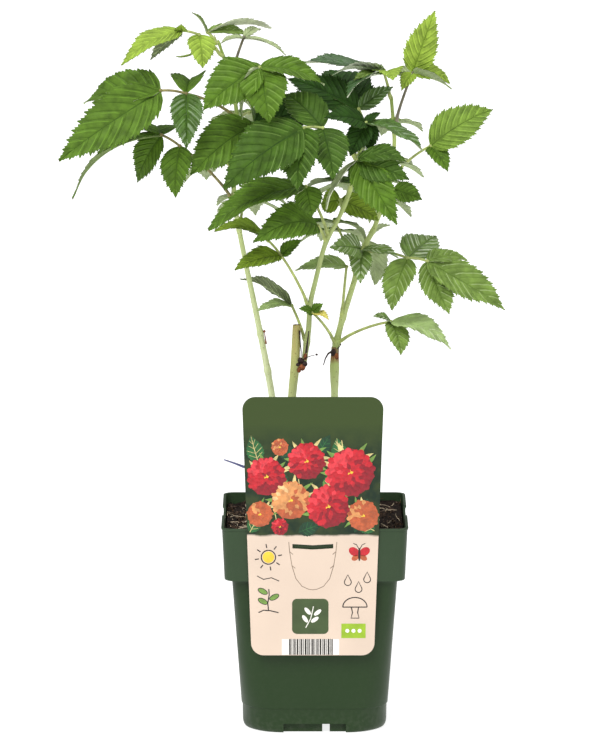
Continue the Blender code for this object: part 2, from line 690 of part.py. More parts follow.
def tree_of(mesh):
    """A search tree of a mesh's faces."""
    bm = bmesh.new()
    bm.from_mesh(mesh)
    tree = BVHTree.FromBMesh(bm)
    bm.free()
    return tree


def is_clear(mesh, taken):
    """Whether a mesh touches none of the trees."""
    tree = tree_of(mesh)
    return not any(tree.overlap(other) for other in taken)


def blade_mesh(blade, root, turn, grown=0.0):
    """The closed mesh of a leaflet."""
    return mesh_from_rings("blade", blade_rings(blade, root, turn, grown))


def stalk_mesh(start, end, radii, arch=STALK_ARCH, outset=None):
    """The mesh of a stalk, which arches up a little and may leave its cane squarely."""
    length = (end - start).length
    count = max(2, round(length / STALK_STEP))
    points = []
    for step in range(count + 1):
        share = step / count
        lift = Vector((0, 0, arch * length * 4 * share * (1 - share)))
        points.append((start.lerp(end, share) + lift, radii[0] + (radii[1] - radii[0]) * share))
    if outset:
        points[0] = (start + outset * SOCKET_LENGTH, points[0][1])
        points.insert(0, (start, radii[0] * SOCKET_SWELL))
    return mesh_from_rings("stalk", tube_rings(points, STALK_SIDES))


def knuckle_mesh(place):
    """The small swelling where leaflets meet."""
    reach = KNUCKLE_RADIUS
    rings = [
        [(place.x + x * reach * size, place.y + y * reach * size, place.z + lift * reach)
         for x, y in KNUCKLE_BELT] for lift, size in KNUCKLE_ENDS]
    return mesh_from_rings("knuckle", rings)


def leaf_root(leaf):
    """Where a leaf's stalk starts, 0.3 mm off its cane, and the way it leaves it."""
    middle, radius = cane_at(leaf.cane, leaf.height)
    below, _ = cane_at(leaf.cane, leaf.height - AXIS_REACH)
    axis = (middle - below).normalized()
    out = direction(leaf.stalk.bearing, leaf.stalk.rise)
    out = (out - axis * out.dot(axis)).normalized()
    return middle + out * (radius + GAP + 0.1), out, middle


def add_blades(pieces, blades, hub, taken, name):
    """Add the leaflets of one hub, each turned until it is clear, or skipped."""
    for number, blade in enumerate(blades):
        for turn in TURNS:
            test = blade_mesh(blade, hub, turn, CLEARANCE)
            clear = is_clear(test, taken)
            bpy.data.meshes.remove(test)
            if clear:
                pieces.append(blade_mesh(blade, hub, turn))
                if turn != (0, 0):
                    print(f"{name}: leaflet {number} turned {turn}")
                break
        else:
            print(f"{name}: leaflet {number} skipped")


def stalk_meshes(leaf):
    """The stalk of a leaf, its rachis if it has one, and the ends of both."""
    start, out, middle = leaf_root(leaf)
    hub = middle + direction(leaf.stalk.bearing, leaf.stalk.rise) * leaf.stalk.length
    meshes = [stalk_mesh(start, hub, (STALK_RADIUS, RACHIS_RADIUS), outset=out), knuckle_mesh(hub)]
    if not leaf.rachis:
        return meshes, hub, None
    end = hub + direction(leaf.rachis.bearing, leaf.rachis.rise) * leaf.rachis.length
    meshes += [stalk_mesh(hub, end, (RACHIS_RADIUS, RACHIS_RADIUS)), knuckle_mesh(end)]
    return meshes, hub, end


def build_leaf(name, leaf, taken):
    """A mass of foliage: a stalk with its leaflets fused on, clear of all before it."""
    pieces, hub, end = stalk_meshes(leaf)
    add_blades(pieces, leaf.pair, hub, taken, name)
    if end:
        add_blades(pieces, leaf.end, end, taken, name)
    made = add_object(name, pieces[0], LEAF_GREEN)
    boolean(made, [add_object("piece", piece, LEAF_GREEN) for piece in pieces[1:]], "UNION")
    made.data.materials.clear()
    made.data.materials.append(material(LEAF_GREEN))
    smooth(made.data, 30)
    return made


def build_foliage(leaves, taken):
    """Every mass in turn, its leaflets clear of the stalks of all the others."""
    stalks = {name: [tree_of(mesh) for mesh in stalk_meshes(leaf)[0]] for name, leaf in leaves.items()}
    for name, leaf in leaves.items():
        others = [tree for other, trees in stalks.items() if other != name for tree in trees]
        if not all(is_clear(mesh, taken + others) for mesh in stalk_meshes(leaf)[0]):
            print(f"{name}: stalk touches")
        made = build_leaf(name, leaf, taken + others)
        taken.append(tree_of(made.data))


def rear_leaf(rear, chance):
    """A compound leaf by the common rule: a pair, a rachis and three leaflets at its end."""
    bearing, size = rear.stalk.bearing, rear.size

    def blade(length, turn, rise):
        wobble = chance.uniform(-7, 7)
        grown = length * size * chance.uniform(0.92, 1.05)
        return Blade(grown, grown * 0.6, bearing + turn + wobble, rise + wobble, 0)

    pair = (blade(0.78, 62, -22), blade(0.78, -62, -22))
    end = (blade(1.0, 0, -26), blade(0.72, 68, -14), blade(0.72, -68, -14))
    rachis = Stalk(size * 0.3, bearing, rear.stalk.rise - 14)
    return Leaf(rear.cane, rear.height, rear.stalk, pair, rachis, end)


def main():
    """Build every piece, the foliage last and clear of all else."""
    for old in list(bpy.data.objects):
        bpy.data.objects.remove(old)
    chance = random.Random(SEED)
    hard = [build_pot(), build_soil(), build_label()] + [build_cane(name) for name in CANES]
    taken = [tree_of(piece.data) for piece in hard]
    rear = {name: rear_leaf(rear, chance) for name, rear in REAR_LEAVES.items()}
    build_foliage({**LEAVES, **rear}, taken)


main()
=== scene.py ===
"""The looks of a raspberry plant in a square nursery pot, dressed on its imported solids.

Lengths are millimetres and angles degrees, in the frame of the solids: +Z is up, the origin
is under the middle of the pot, and the label hangs on the -Y side. MM turns millimetres into
metres. A bearing is counted from +X towards +Y, and a rise from the horizontal upwards. The
canes, the leaf stalks and the leaflets follow the rule and the sizes of the solids, and are
carried on from there to bark, bristles, veins and toothed margins.
"""
import json
import logging
import math
import random
from collections.abc import Callable, Sequence
from dataclasses import dataclass, field
from enum import Enum
from typing import NamedTuple

import bpy
import numpy as np
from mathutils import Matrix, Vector, noise

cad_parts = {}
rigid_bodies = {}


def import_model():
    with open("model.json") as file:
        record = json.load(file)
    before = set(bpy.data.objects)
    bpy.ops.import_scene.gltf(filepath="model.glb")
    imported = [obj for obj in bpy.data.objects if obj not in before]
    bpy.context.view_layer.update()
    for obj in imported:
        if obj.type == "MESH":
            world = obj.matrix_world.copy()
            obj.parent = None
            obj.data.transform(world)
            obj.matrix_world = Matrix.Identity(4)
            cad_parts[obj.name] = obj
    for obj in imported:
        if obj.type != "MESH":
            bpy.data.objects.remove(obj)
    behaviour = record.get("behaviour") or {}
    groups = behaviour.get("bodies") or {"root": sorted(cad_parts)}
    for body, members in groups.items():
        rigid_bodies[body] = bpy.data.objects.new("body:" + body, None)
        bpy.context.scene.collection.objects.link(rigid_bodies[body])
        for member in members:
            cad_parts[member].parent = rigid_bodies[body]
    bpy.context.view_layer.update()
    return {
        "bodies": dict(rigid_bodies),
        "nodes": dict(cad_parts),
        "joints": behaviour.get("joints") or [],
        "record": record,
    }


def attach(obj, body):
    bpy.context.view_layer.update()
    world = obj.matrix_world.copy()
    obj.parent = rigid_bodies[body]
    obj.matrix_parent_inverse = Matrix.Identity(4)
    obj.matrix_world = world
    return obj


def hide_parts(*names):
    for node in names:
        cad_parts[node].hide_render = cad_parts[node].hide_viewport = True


LOG = logging.getLogger("raspberry")
MM = 0.001
GAP = 0.3
SEED = 11
WIDEST_AT = 0.37
BASE_SWELL = 0.6
TIP_TAPER = 1.02

Colour = tuple[int, int, int]
Flat = tuple[float, float]


def direction(bearing: float, rise: float) -> Vector:
    """The unit vector along a bearing and a rise.

    Args:
        bearing: Degrees from +X towards +Y.
        rise: Degrees up from the horizontal.

    Returns:
        A vector of length one.
    """
    bearing, rise = math.radians(bearing), math.radians(rise)
    level = math.cos(rise)
    return Vector((level * math.cos(bearing), level * math.sin(bearing), math.sin(rise)))


def linear(colour: Colour) -> tuple[float, float, float, float]:
    """A screen colour from 0 to 255 as the linear colour that a shader takes.

    Args:
        colour: Red, green and blue.

    Returns:
        Linear red, green and blue, and an alpha of one.
    """
    shares = [channel / 255 for channel in colour]
    bent = [c / 12.92 if c <= 0.04045 else ((c + 0.055) / 1.055) ** 2.4 for c in shares]
    return (*bent, 1.0)


def shaded(colour: Colour, share: float) -> Colour:
    """A colour made lighter or darker by a share."""
    return tuple(max(0, min(255, round(channel * share))) for channel in colour)


def eased(value: float | np.ndarray) -> float | np.ndarray:
    """A smooth step from 0 to 1 as the value goes from 0 to 1."""
    held = np.clip(value, 0.0, 1.0)
    return held * held * (3 - 2 * held)


class Way(NamedTuple):
    """A point that a cane passes: its height, its place and its radius there."""

    z: float
    x: float
    y: float
    radius: float


def curve_through(ways: Sequence[Way], step: float) -> list[tuple[Vector, float]]:
    """A smooth curve through the ways of a cane.

    Args:
        ways: The points that the cane passes, from its foot up.
        step: The distance between the points of the curve, about.

    Returns:
        The place and the radius at each point.
    """
    values = [Vector((way.x, way.y, way.z, way.radius)) for way in ways]
    points = []
    for i in range(len(values) - 1):
        here, there = values[i], values[i + 1]
        before, after = values[max(i - 1, 0)], values[min(i + 2, len(values) - 1)]
        span = (there - here).length
        count = max(1, round(span / step))
        lead = (there - before) * (span / max((there - before).length, 1e-6))
        trail = (after - here) * (span / max((after - here).length, 1e-6))
        if i == 0:
            lead = there - here
        if i == len(values) - 2:
            trail = there - here
        for k in range(count):
            t = k / count
            points.append(
                here * (2 * t**3 - 3 * t**2 + 1) + lead * (t**3 - 2 * t**2 + t)
                + there * (3 * t**2 - 2 * t**3) + trail * (t**3 - t**2))
    points.append(values[-1])
    return [(point.xyz, point.w) for point in points]


def rings_round(
    places: Sequence[Vector], sides: int, radius: Callable[[int, float], float]
) -> list[list[Vector]]:
    """Rings of points round a path, turned as little as possible from one to the next.

    Args:
        places: The path.
        sides: How many points a ring has.
        radius: The radius at a point's number and an angle.

    Returns:
        One ring for each point of the path.
    """
    rings, side = [], None
    for i, place in enumerate(places):
        ahead = (places[min(i + 1, len(places) - 1)] - places[max(i - 1, 0)]).normalized()
        side = side or ahead.orthogonal().normalized()
        side = (side - ahead * side.dot(ahead)).normalized()
        across = ahead.cross(side)
        turns = [math.tau * k / sides for k in range(sides)]
        rings.append([
            place + (side * math.cos(a) + across * math.sin(a)) * radius(i, a) for a in turns])
    return rings


class Recipe:
    """A node material as it is put together round its Principled shader."""

    def __init__(self, name: str, roughness: float, specular: float) -> None:
        """Start a material.

        Args:
            name: Its name.
            roughness: How matt it is.
            specular: How strongly it reflects.
        """
        self.material = bpy.data.materials.new(name)
        self.material.use_nodes = True
        self.nodes = self.material.node_tree.nodes
        self.links = self.material.node_tree.links
        self.shader = self.nodes["Principled BSDF"]
        self.shader.inputs["Roughness"].default_value = roughness
        self.shader.inputs["Specular IOR Level"].default_value = specular
        self.place = self.nodes.new("ShaderNodeTexCoord").outputs["Object"]

    def feed(self, socket: bpy.types.NodeSocket, value: object) -> None:
        """Link a socket to another one, or set its value."""
        if isinstance(value, bpy.types.NodeSocket):
            self.links.new(value, socket)
        else:
            socket.default_value = value

    def stretched(self, x: float, y: float, z: float) -> bpy.types.NodeSocket:
        """The object's own coordinates, with each axis multiplied."""
        node = self.nodes.new("ShaderNodeMapping")
        node.inputs["Scale"].default_value = (x, y, z)
        self.links.new(self.place, node.inputs["Vector"])
        return node.outputs["Vector"]

    def cloud(
        self, size: float, detail: float = 2.0, place: bpy.types.NodeSocket = None
    ) -> bpy.types.NodeSocket:
        """Soft noise.

        Args:
            size: The size of its blots in millimetres.
            detail: How many finer layers it has.
            place: The coordinates, or None for the object's own.

        Returns:
            A value between 0 and 1.
        """
        node = self.nodes.new("ShaderNodeTexNoise")
        node.inputs["Scale"].default_value = 1 / (size * MM)
        node.inputs["Detail"].default_value = detail
        self.links.new(place or self.place, node.inputs["Vector"])
        return node.outputs["Fac"]

    def cells(
        self, size: float, place: bpy.types.NodeSocket = None
    ) -> bpy.types.NodeSocket:
        """The distance to the nearest of many scattered points, in cells of a size."""
        node = self.nodes.new("ShaderNodeTexVoronoi")
        node.inputs["Scale"].default_value = 1 / (size * MM)
        self.links.new(place or self.place, node.inputs["Vector"])
        return node.outputs["Distance"]

    def levels(
        self, value: bpy.types.NodeSocket, low: float, high: float,
        to: tuple[float, float] = (0.0, 1.0),
    ) -> bpy.types.NodeSocket:
        """Stretch the part of a value between two levels over a new range, and clamp it."""
        node = self.nodes.new("ShaderNodeMapRange")
        self.links.new(value, node.inputs["Value"])
        node.inputs["From Min"].default_value = low
        node.inputs["From Max"].default_value = high
        node.inputs["To Min"].default_value = to[0]
        node.inputs["To Max"].default_value = to[1]
        return node.outputs["Result"]

    def height(self) -> bpy.types.NodeSocket:
        """How high a point lies, in metres."""
        node = self.nodes.new("ShaderNodeSeparateXYZ")
        self.links.new(self.place, node.inputs["Vector"])
        return node.outputs["Z"]

    def added(
        self, first: bpy.types.NodeSocket, second: bpy.types.NodeSocket, share: float
    ) -> bpy.types.NodeSocket:
        """The first value with a share of the second added."""
        node = self.nodes.new("ShaderNodeMath")
        node.operation = "MULTIPLY_ADD"
        self.links.new(second, node.inputs[0])
        node.inputs[1].default_value = share
        self.links.new(first, node.inputs[2])
        return node.outputs["Value"]

    def mixed(self, share: object, first: object, second: object) -> bpy.types.NodeSocket:
        """A colour between two: each is a socket or a screen colour.

        Args:
            share: How much of the second, as a socket or a number.
            first: The colour at a share of 0.
            second: The colour at a share of 1.

        Returns:
            The mixed colour.
        """
        node = self.nodes.new("ShaderNodeMix")
        node.data_type = "RGBA"
        self.feed(node.inputs[0], share)
        for socket, colour in ((node.inputs[6], first), (node.inputs[7], second)):
            self.feed(socket, linear(colour) if isinstance(colour, tuple) else colour)
        return node.outputs[2]

    def ramp(
        self, value: bpy.types.NodeSocket, stops: Sequence[tuple[float, Colour]]
    ) -> bpy.types.NodeSocket:
        """The colours of the stops, spread along a value from 0 to 1."""
        node = self.nodes.new("ShaderNodeValToRGB")
        elements = node.color_ramp.elements
        while len(elements) < len(stops):
            elements.new(0.5)
        for element, (place, colour) in zip(elements, stops):
            element.position = place
            element.color = linear(colour)
        self.links.new(value, node.inputs["Fac"])
        return node.outputs["Color"]

    def bumped(self, height: bpy.types.NodeSocket, strength: float, depth: float) -> None:
        """Press a height into the surface, over any bump that it has already.

        Args:
            height: The height, from 0 to 1.
            strength: How much of it shows.
            depth: How deep it is in millimetres.
        """
        node = self.nodes.new("ShaderNodeBump")
        node.inputs["Strength"].default_value = strength
        node.inputs["Distance"].default_value = depth * MM
        self.links.new(height, node.inputs["Height"])
        normal = self.shader.inputs["Normal"]
        if normal.is_linked:
            self.links.new(normal.links[0].from_socket, node.inputs["Normal"])
        self.links.new(node.outputs["Normal"], normal)

    def colour(self, value: object) -> None:
        """Set the base colour, from a socket or a screen colour."""
        self.feed(
            self.shader.inputs["Base Color"], linear(value) if isinstance(value, tuple) else value)


@dataclass(frozen=True)
class Finish:
    """A surface of one colour with soft blots, a grain and a gloss."""

    name: str
    base: Colour
    roughness: float = 0.5
    specular: float = 0.4
    blots: float = 0.10
    blot_size: float = 9.0
    grain: float = 0.15
    grain_size: float = 0.7
    grain_depth: float = 0.2
    sheen: float = 0.0

    def material(self) -> bpy.types.Material:
        """The material, made at its first use."""
        return bpy.data.materials.get(self.name) or self.make()

    def make(self) -> bpy.types.Material:
        """Put the material together.

        Returns:
            The new material.
        """
        recipe = Recipe(self.name, self.roughness, self.specular)
        recipe.shader.inputs["Sheen Weight"].default_value = self.sheen
        blot = recipe.levels(recipe.cloud(self.blot_size, 3.0), 0.32, 0.68)
        recipe.colour(recipe.mixed(
            blot, shaded(self.base, 1 - self.blots), shaded(self.base, 1 + self.blots)))
        recipe.bumped(recipe.cloud(self.grain_size), self.grain, self.grain_depth)
        return recipe.material


@dataclass(frozen=True)
class PlasticFinish(Finish):
    """Moulded plastic: a satin skin, with painted shade on the body below the collar, and dusty at the foot."""

    # The body's colour below the collar: painted shade, as if cast by the collar above it.
    deep: Colour = (34, 56, 25)
    painted_shade_top: float = 111.0
    dust: Colour = (84, 92, 76)
    dust_top: float = 20.0

    def make(self) -> bpy.types.Material:
        """Put the material together.

        Returns:
            The new material.
        """
        recipe = Recipe(self.name, self.roughness, self.specular)
        blot = recipe.levels(recipe.cloud(self.blot_size, 3.0), 0.3, 0.7)
        plain = recipe.mixed(
            blot, shaded(self.base, 1 - self.blots), shaded(self.base, 1 + self.blots))
        # Painted shade: below the collar the body takes the darker colour.
        collar = recipe.levels(recipe.height(), (self.painted_shade_top - 2) * MM, self.painted_shade_top * MM)
        plain = recipe.mixed(collar, self.deep, plain)
        low = recipe.levels(recipe.height(), 0.0, self.dust_top * MM, (0.40, 0.04))
        specks = recipe.levels(recipe.cloud(3.0, 4.0), 0.45, 0.8)
        share = recipe.nodes.new("ShaderNodeMath")
        share.operation = "MULTIPLY"
        recipe.links.new(low, share.inputs[0])
        recipe.links.new(specks, share.inputs[1])
        recipe.colour(recipe.mixed(share.outputs["Value"], plain, self.dust))
        scuffs = recipe.cloud(14.0, 5.0, recipe.stretched(1, 1, 0.35))
        gloss = recipe.levels(scuffs, 0.3, 0.7, (self.roughness - 0.06, self.roughness + 0.08))
        recipe.links.new(gloss, recipe.shader.inputs["Roughness"])
        recipe.bumped(recipe.cloud(self.grain_size, 4.0), self.grain, self.grain_depth)
        return recipe.material


@dataclass(frozen=True)
class BarkFinish(Finish):
    """The smooth skin of a young cane: coloured by height, streaked and speckled."""

    stops: tuple[tuple[float, Colour], ...] = ()
    low: float = 136.0
    high: float = 490.0

    def make(self) -> bpy.types.Material:
        """Put the material together.

        Returns:
            The new material.
        """
        recipe = Recipe(self.name, self.roughness, self.specular)
        span = self.high - self.low
        uneven = recipe.added(recipe.height(), recipe.cloud(5.0, 3.0), 0.006)
        height = recipe.levels(uneven, (self.low + 3) * MM, (self.high + 3) * MM)
        skin = recipe.ramp(height, [((z - self.low) / span, c) for z, c in self.stops])
        streaks = recipe.levels(
            recipe.cloud(0.9, 3.0, recipe.stretched(1, 1, 0.06)), 0.35, 0.7, (0.0, 0.45))
        streaked = recipe.mixed(streaks, skin, self.base)
        specks = recipe.levels(recipe.cells(2.6), 0.10, 0.17, (0.75, 0.0))
        recipe.colour(recipe.mixed(specks, streaked, (110, 96, 48)))
        recipe.bumped(recipe.cloud(0.8, 3.0, recipe.stretched(1, 1, 0.1)), 0.35, 0.3)
        return recipe.material


@dataclass(frozen=True)
class LeafFinish(Finish):
    """A leaf's skin: light blots, a quilt of small veins, fine hair and a soft gloss."""

    quilt: float = 0.35
    quilt_size: float = 2.1

    def make(self) -> bpy.types.Material:
        """Put the material together.

        Returns:
            The new material.
        """
        recipe = Recipe(self.name, self.roughness, self.specular)
        recipe.shader.inputs["Sheen Weight"].default_value = self.sheen
        recipe.shader.inputs["Sheen Roughness"].default_value = 0.4
        recipe.shader.inputs["Sheen Tint"].default_value = linear((226, 236, 216))
        blot = recipe.levels(recipe.cloud(self.blot_size, 3.0), 0.32, 0.68)
        recipe.colour(recipe.mixed(
            blot, shaded(self.base, 1 - self.blots), shaded(self.base, 1 + self.blots)))
        recipe.bumped(recipe.cells(self.quilt_size), self.quilt, 0.5)
        recipe.bumped(recipe.cloud(self.grain_size), self.grain, self.grain_depth)
        return recipe.material


@dataclass(frozen=True)
class Greens:
    """The greens of one kind of leaflet, its gloss, and the painted highlight streaks between its veins."""

    name: str
    skin: Colour
    vein: Colour
    roughness: float = 0.55
    specular: float = 0.12
    sheen: float = 0.01
    # The next three fields: a painted highlight colour for the strips beside the side veins, the share of strips
    # that show it, and whether the bulges take it too.
    painted_highlight: Colour | None = None
    streaked: float = 1.0
    highlighted_bulges: bool = False
    under: Colour = (172, 186, 142)
    pleats: float = 1.0
    lower_rib: float = 1.1

    def finish(self, side: str, colour: Colour, **changes: float) -> LeafFinish:
        """A finish of this leaflet, named for the place where it shows."""
        return LeafFinish(
            f"{side}_{self.name}", colour, self.roughness, self.specular, sheen=self.sheen, **changes)

    def upper(self) -> LeafFinish:
        """The finish of the upper side."""
        return self.finish("leaf", self.skin, blots=0.14, blot_size=8.0)

    def streaks(self) -> LeafFinish:
        """The finish of the painted highlight streaks along the side veins."""
        return self.finish("painted_highlight", self.painted_highlight or shaded(self.skin, 1.2), blots=0.08)

    def ribs(self) -> LeafFinish:
        """The finish of the midrib and the side veins: their own colour, in most tints darkened as painted shade
        of the sunk groove.
        """
        return self.finish("vein", self.vein, blots=0.08, quilt=0.05)

    def lower(self) -> LeafFinish:
        """The finish of the pale, downy underside."""
        return LeafFinish(f"under_{self.name}", self.under, 0.65, 0.15, blots=0.08, sheen=0.12, quilt=0.8)

    def lower_ribs(self) -> LeafFinish:
        """The finish of the net of veins below."""
        return LeafFinish(
            f"under_vein_{self.name}", shaded(self.under, self.lower_rib), 0.6, 0.15, blots=0.05, sheen=0.1)


class Tint(Enum):
    """The kinds of leaflet that the plant shows."""

    MID = Greens("mid", (84, 115, 38), (69, 98, 31), streaked=0.8)
    LARGE = Greens("large", (84, 114, 38), (69, 98, 31), streaked=0.8, pleats=0.75)
    SHADED = Greens("shaded", (78, 108, 32), (64, 92, 27), streaked=0.8, under=(124, 144, 88))
    FRESH = Greens("fresh", (84, 116, 34), (69, 99, 30), painted_highlight=(112, 142, 62), streaked=0.8)
    LIGHT = Greens("light", (112, 138, 64), (92, 118, 48), painted_highlight=(148, 168, 110), streaked=0.7)
    YOUNG = Greens("young", (140, 166, 64), (114, 140, 48))
    BRIGHT = Greens("bright", (111, 139, 55), (86, 112, 40))
    BLUISH = Greens("bluish", (66, 95, 31), (48, 75, 24), painted_highlight=(94, 122, 56), streaked=0.75)
    # Painted shade: the dark green of leaflets that lie in shadow inside the crown.
    DEEP = Greens("deep", (40, 68, 22), (30, 54, 17))
    # Painted reflection: pale sheen streaks over the bulges and beside the veins of a green leaflet.
    PAINTED_SHEEN = Greens(
        "painted_sheen", (106, 134, 62), (84, 110, 46), 0.42, 0.4, 0.15, (176, 192, 152), 0.45, True)
    GLINTING = Greens("glinting", (72, 104, 36), (54, 82, 27), 0.42, 0.4, 0.1, (122, 146, 104), 0.35, True)
    GLOSSY = Greens("glossy", (54, 86, 42), (80, 108, 66), 0.36, 0.4, 0.1, under=(218, 226, 200))
    OLIVE = Greens("olive", (108, 132, 40), (82, 104, 32))
    GREY = Greens("grey", (158, 172, 126), (134, 150, 104), 0.6, 0.2, 0.15, under=(226, 232, 204))
    PALE = Greens(
        "pale", (164, 188, 122), (140, 164, 98), 0.55, 0.2, 0.06, (198, 212, 168), 0.5, under=(204, 216, 172))
    YELLOWED = Greens("yellowed", (208, 196, 104), (180, 170, 84))
    DUSKY = Greens("dusky", (96, 118, 62), (74, 94, 46), under=(112, 124, 88), lower_rib=1.8)


# The leaflet's cut edge: darker, partly the dark rim of young margins and partly painted shade along the edge.
LEAF_MARGIN = LeafFinish("leaf_margin", (70, 84, 30), 0.55, 0.15, quilt=0.0)
LEAF_TIP = LeafFinish("leaf_tip", (96, 74, 44), 0.6, 0.3, quilt=0.0)
STALK_SKIN = Finish("stalk_skin", (168, 180, 108), 0.5, 0.35, 0.16, 6.0, 0.3, 0.5)
STALK_RUSSET = Finish("stalk_russet", (134, 126, 80), 0.5, 0.35, 0.2, 5.0, 0.3, 0.5)
STALK_PURPLE = Finish("stalk_purple", (122, 116, 98), 0.5, 0.35, 0.2, 5.0, 0.3, 0.5)
STALKS = {
    "leaf_left_lower": STALK_RUSSET, "leaf_left_inner": STALK_RUSSET, "leaf_left_large": STALK_RUSSET,
    "leaf_crown_right": STALK_PURPLE, "leaf_crown_left_back": STALK_PURPLE}
BRISTLE = Finish("bristle", (150, 146, 92), 0.5, 0.3)
DARK_SHRED = Finish("dark_shred", (44, 30, 26), 0.6, 0.3, 0.3, 1.5, 0.5, 0.4)
WOUND = Finish("wound_wood", (112, 66, 40), 0.75, 0.2, 0.4, 1.6, 0.6, 0.5)
PITH = Finish("cut_pith", (176, 158, 96), 0.85, 0.15, 0.15, 1.0, 0.6, 0.5)
CUT_RIM = Finish("cut_rim", (74, 46, 34), 0.8, 0.2, 0.25, 1.2, 0.6, 0.5)
WIRE = Finish("dry_stem", (84, 86, 124), 0.5, 0.4, 0.2, 3.0)
POT_SKIN = PlasticFinish(
    "pot_plastic_green", (48, 67, 43), 0.42, 0.25, 0.05, 40.0, 0.10, 0.6, 0.15)
SOIL_DARK = Finish("soil_dark", (30, 23, 20), 0.95, 0.15, 0.6, 3.0, 0.9, 1.1, 1.2)
SOIL_CRUMB = Finish("soil_crumb", (62, 50, 43), 0.95, 0.15, 0.55, 2.0, 0.8, 0.8, 0.8)
SOIL_FIBRE = Finish("soil_fibre", (92, 70, 52), 0.85, 0.2, 0.3, 4.0, 0.4)
SOIL_STRAW = Finish("soil_straw", (206, 186, 160), 0.8, 0.2, 0.25, 4.0, 0.4)


class Shape:
    """Points and faces that gather into one mesh, with a finish on each face."""

    def __init__(self) -> None:
        """Start with nothing."""
        self.points: list[Sequence[float]] = []
        self.faces: list[tuple[int, ...]] = []
        self.slots: list[int] = []
        self.materials: list[bpy.types.Material] = []

    def slot(self, finish: Finish) -> int:
        """The number of a finish on this shape."""
        material = finish.material()
        if material not in self.materials:
            self.materials.append(material)
        return self.materials.index(material)

    def add(
        self, points: Sequence[Sequence[float]], faces: Sequence[Sequence[int]],
        finishes: Finish | Sequence[int],
    ) -> None:
        """Add points and the faces between them.

        Args:
            points: Places in millimetres.
            faces: Rows of point numbers, counted from the first of these points.
            finishes: One finish for all the faces, or a slot number for each.
        """
        start = len(self.points)
        self.points.extend(points)
        self.faces.extend(tuple(start + corner for corner in face) for face in faces)
        if isinstance(finishes, Finish):
            finishes = [self.slot(finishes)] * len(faces)
        self.slots.extend(finishes)

    def loft(
        self, rings: Sequence[Sequence[Vector]], finish: Finish, capped: bool = True
    ) -> None:
        """Add a skin over rings of as many points each.

        Args:
            rings: The rings, which run round the way that they follow each other.
            finish: The finish of the skin.
            capped: Whether the two ends are closed.
        """
        sides = len(rings[0])
        faces = [
            (i * sides + k, i * sides + (k + 1) % sides,
             (i + 1) * sides + (k + 1) % sides, (i + 1) * sides + k)
            for i in range(len(rings) - 1) for k in range(sides)]
        if capped:
            last = (len(rings) - 1) * sides
            faces.append(tuple(reversed(range(sides))))
            faces.append(tuple(range(last, last + sides)))
        self.add([point for ring in rings for point in ring], faces, finish)

    def tube(
        self, places: Sequence[Vector], radii: Sequence[float], sides: int, finish: Finish
    ) -> None:
        """Add a round tube along places, with a radius at each."""
        self.loft(rings_round(places, sides, lambda i, _: radii[i]), finish)

    def spike(self, root: Vector, tip: Vector, radius: float, finish: Finish) -> None:
        """Add a slim spike with three sides."""
        ahead = (tip - root).normalized()
        side = ahead.orthogonal().normalized()
        across = ahead.cross(side)
        turns = [math.tau * k / 3 for k in range(3)]
        ring = [root + (side * math.cos(a) + across * math.sin(a)) * radius for a in turns]
        self.add([*ring, tip], [(2, 1, 0), (0, 1, 3), (1, 2, 3), (2, 0, 3)], finish)

    def piece(
        self, name: str, slot: str, replaces: Sequence[str] = (), crease: float = 50.0
    ) -> bpy.types.Object:
        """Turn the gathered faces into a piece of the object.

        Args:
            name: The piece's name.
            slot: The record's material slot; not used.
            replaces: The solids that it stands for.
            crease: Edges sharper than this angle stay hard.

        Returns:
            The new object.
        """
        mesh = bpy.data.meshes.new(name)
        scaled = np.asarray(self.points, dtype=float) * MM
        mesh.from_pydata(scaled.tolist(), [], self.faces)
        for material in self.materials:
            mesh.materials.append(material)
        mesh.polygons.foreach_set("material_index", self.slots)
        mesh.shade_smooth()
        mesh.set_sharp_from_angle(angle=math.radians(crease))
        made = bpy.data.objects.new(name, mesh)
        bpy.context.scene.collection.objects.link(made)
        return seat(made, replaces)


def seat(made: bpy.types.Object, replaces: Sequence[str] = ()) -> bpy.types.Object:
    """Let a piece ride on the plant's one body, and report it.

    Args:
        made: The piece.
        replaces: The solids that it stands for.

    Returns:
        The same piece.
    """
    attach(made, "root")
    if replaces:
        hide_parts(*replaces)
    LOG.info("%s: %d faces", made.name, len(made.data.polygons))
    return made


def boolean(
    target: bpy.types.Object, others: Sequence[bpy.types.Object], operation: str
) -> bpy.types.Object:
    """Join or cut other objects into a target, and remove them.

    Args:
        target: The object that is changed.
        others: The objects that are joined or cut.
        operation: UNION or DIFFERENCE.

    Returns:
        The target.
    """
    group = bpy.data.collections.new("operands")
    bpy.context.scene.collection.children.link(group)
    for other in others:
        for owner in list(other.users_collection):
            owner.objects.unlink(other)
        group.objects.link(other)
    modifier = target.modifiers.new("boolean", "BOOLEAN")
    modifier.operation = operation
    modifier.operand_type = "COLLECTION"
    modifier.collection = group
    modifier.solver = "EXACT"
    graph = bpy.context.evaluated_depsgraph_get()
    target.data = bpy.data.meshes.new_from_object(target.evaluated_get(graph))
    target.modifiers.clear()
    for other in others:
        bpy.data.objects.remove(other)
    bpy.data.collections.remove(group)
    return target


def loose(name: str, rings: Sequence[Sequence[Sequence[float]]], finish: Finish) -> bpy.types.Object:
    """A closed solid over rings, for joining or cutting.

    Args:
        name: The object's name.
        rings: Rings of points in millimetres.
        finish: Its finish.

    Returns:
        An object that rides on nothing yet.
    """
    shape = Shape()
    shape.loft([[Vector(point) for point in ring] for ring in rings], finish)
    mesh = bpy.data.meshes.new(name)
    mesh.from_pydata([tuple(point * MM) for point in shape.points], [], shape.faces)
    mesh.materials.append(finish.material())
    made = bpy.data.objects.new(name, mesh)
    bpy.context.scene.collection.objects.link(made)
    return made


def block(name: str, low: Sequence[float], high: Sequence[float], finish: Finish) -> bpy.types.Object:
    """A box between two corners in millimetres."""
    corners = [(low[0], low[1]), (high[0], low[1]), (high[0], high[1]), (low[0], high[1])]
    return loose(name, [[(x, y, z) for x, y in corners] for z in (low[2], high[2])], finish)


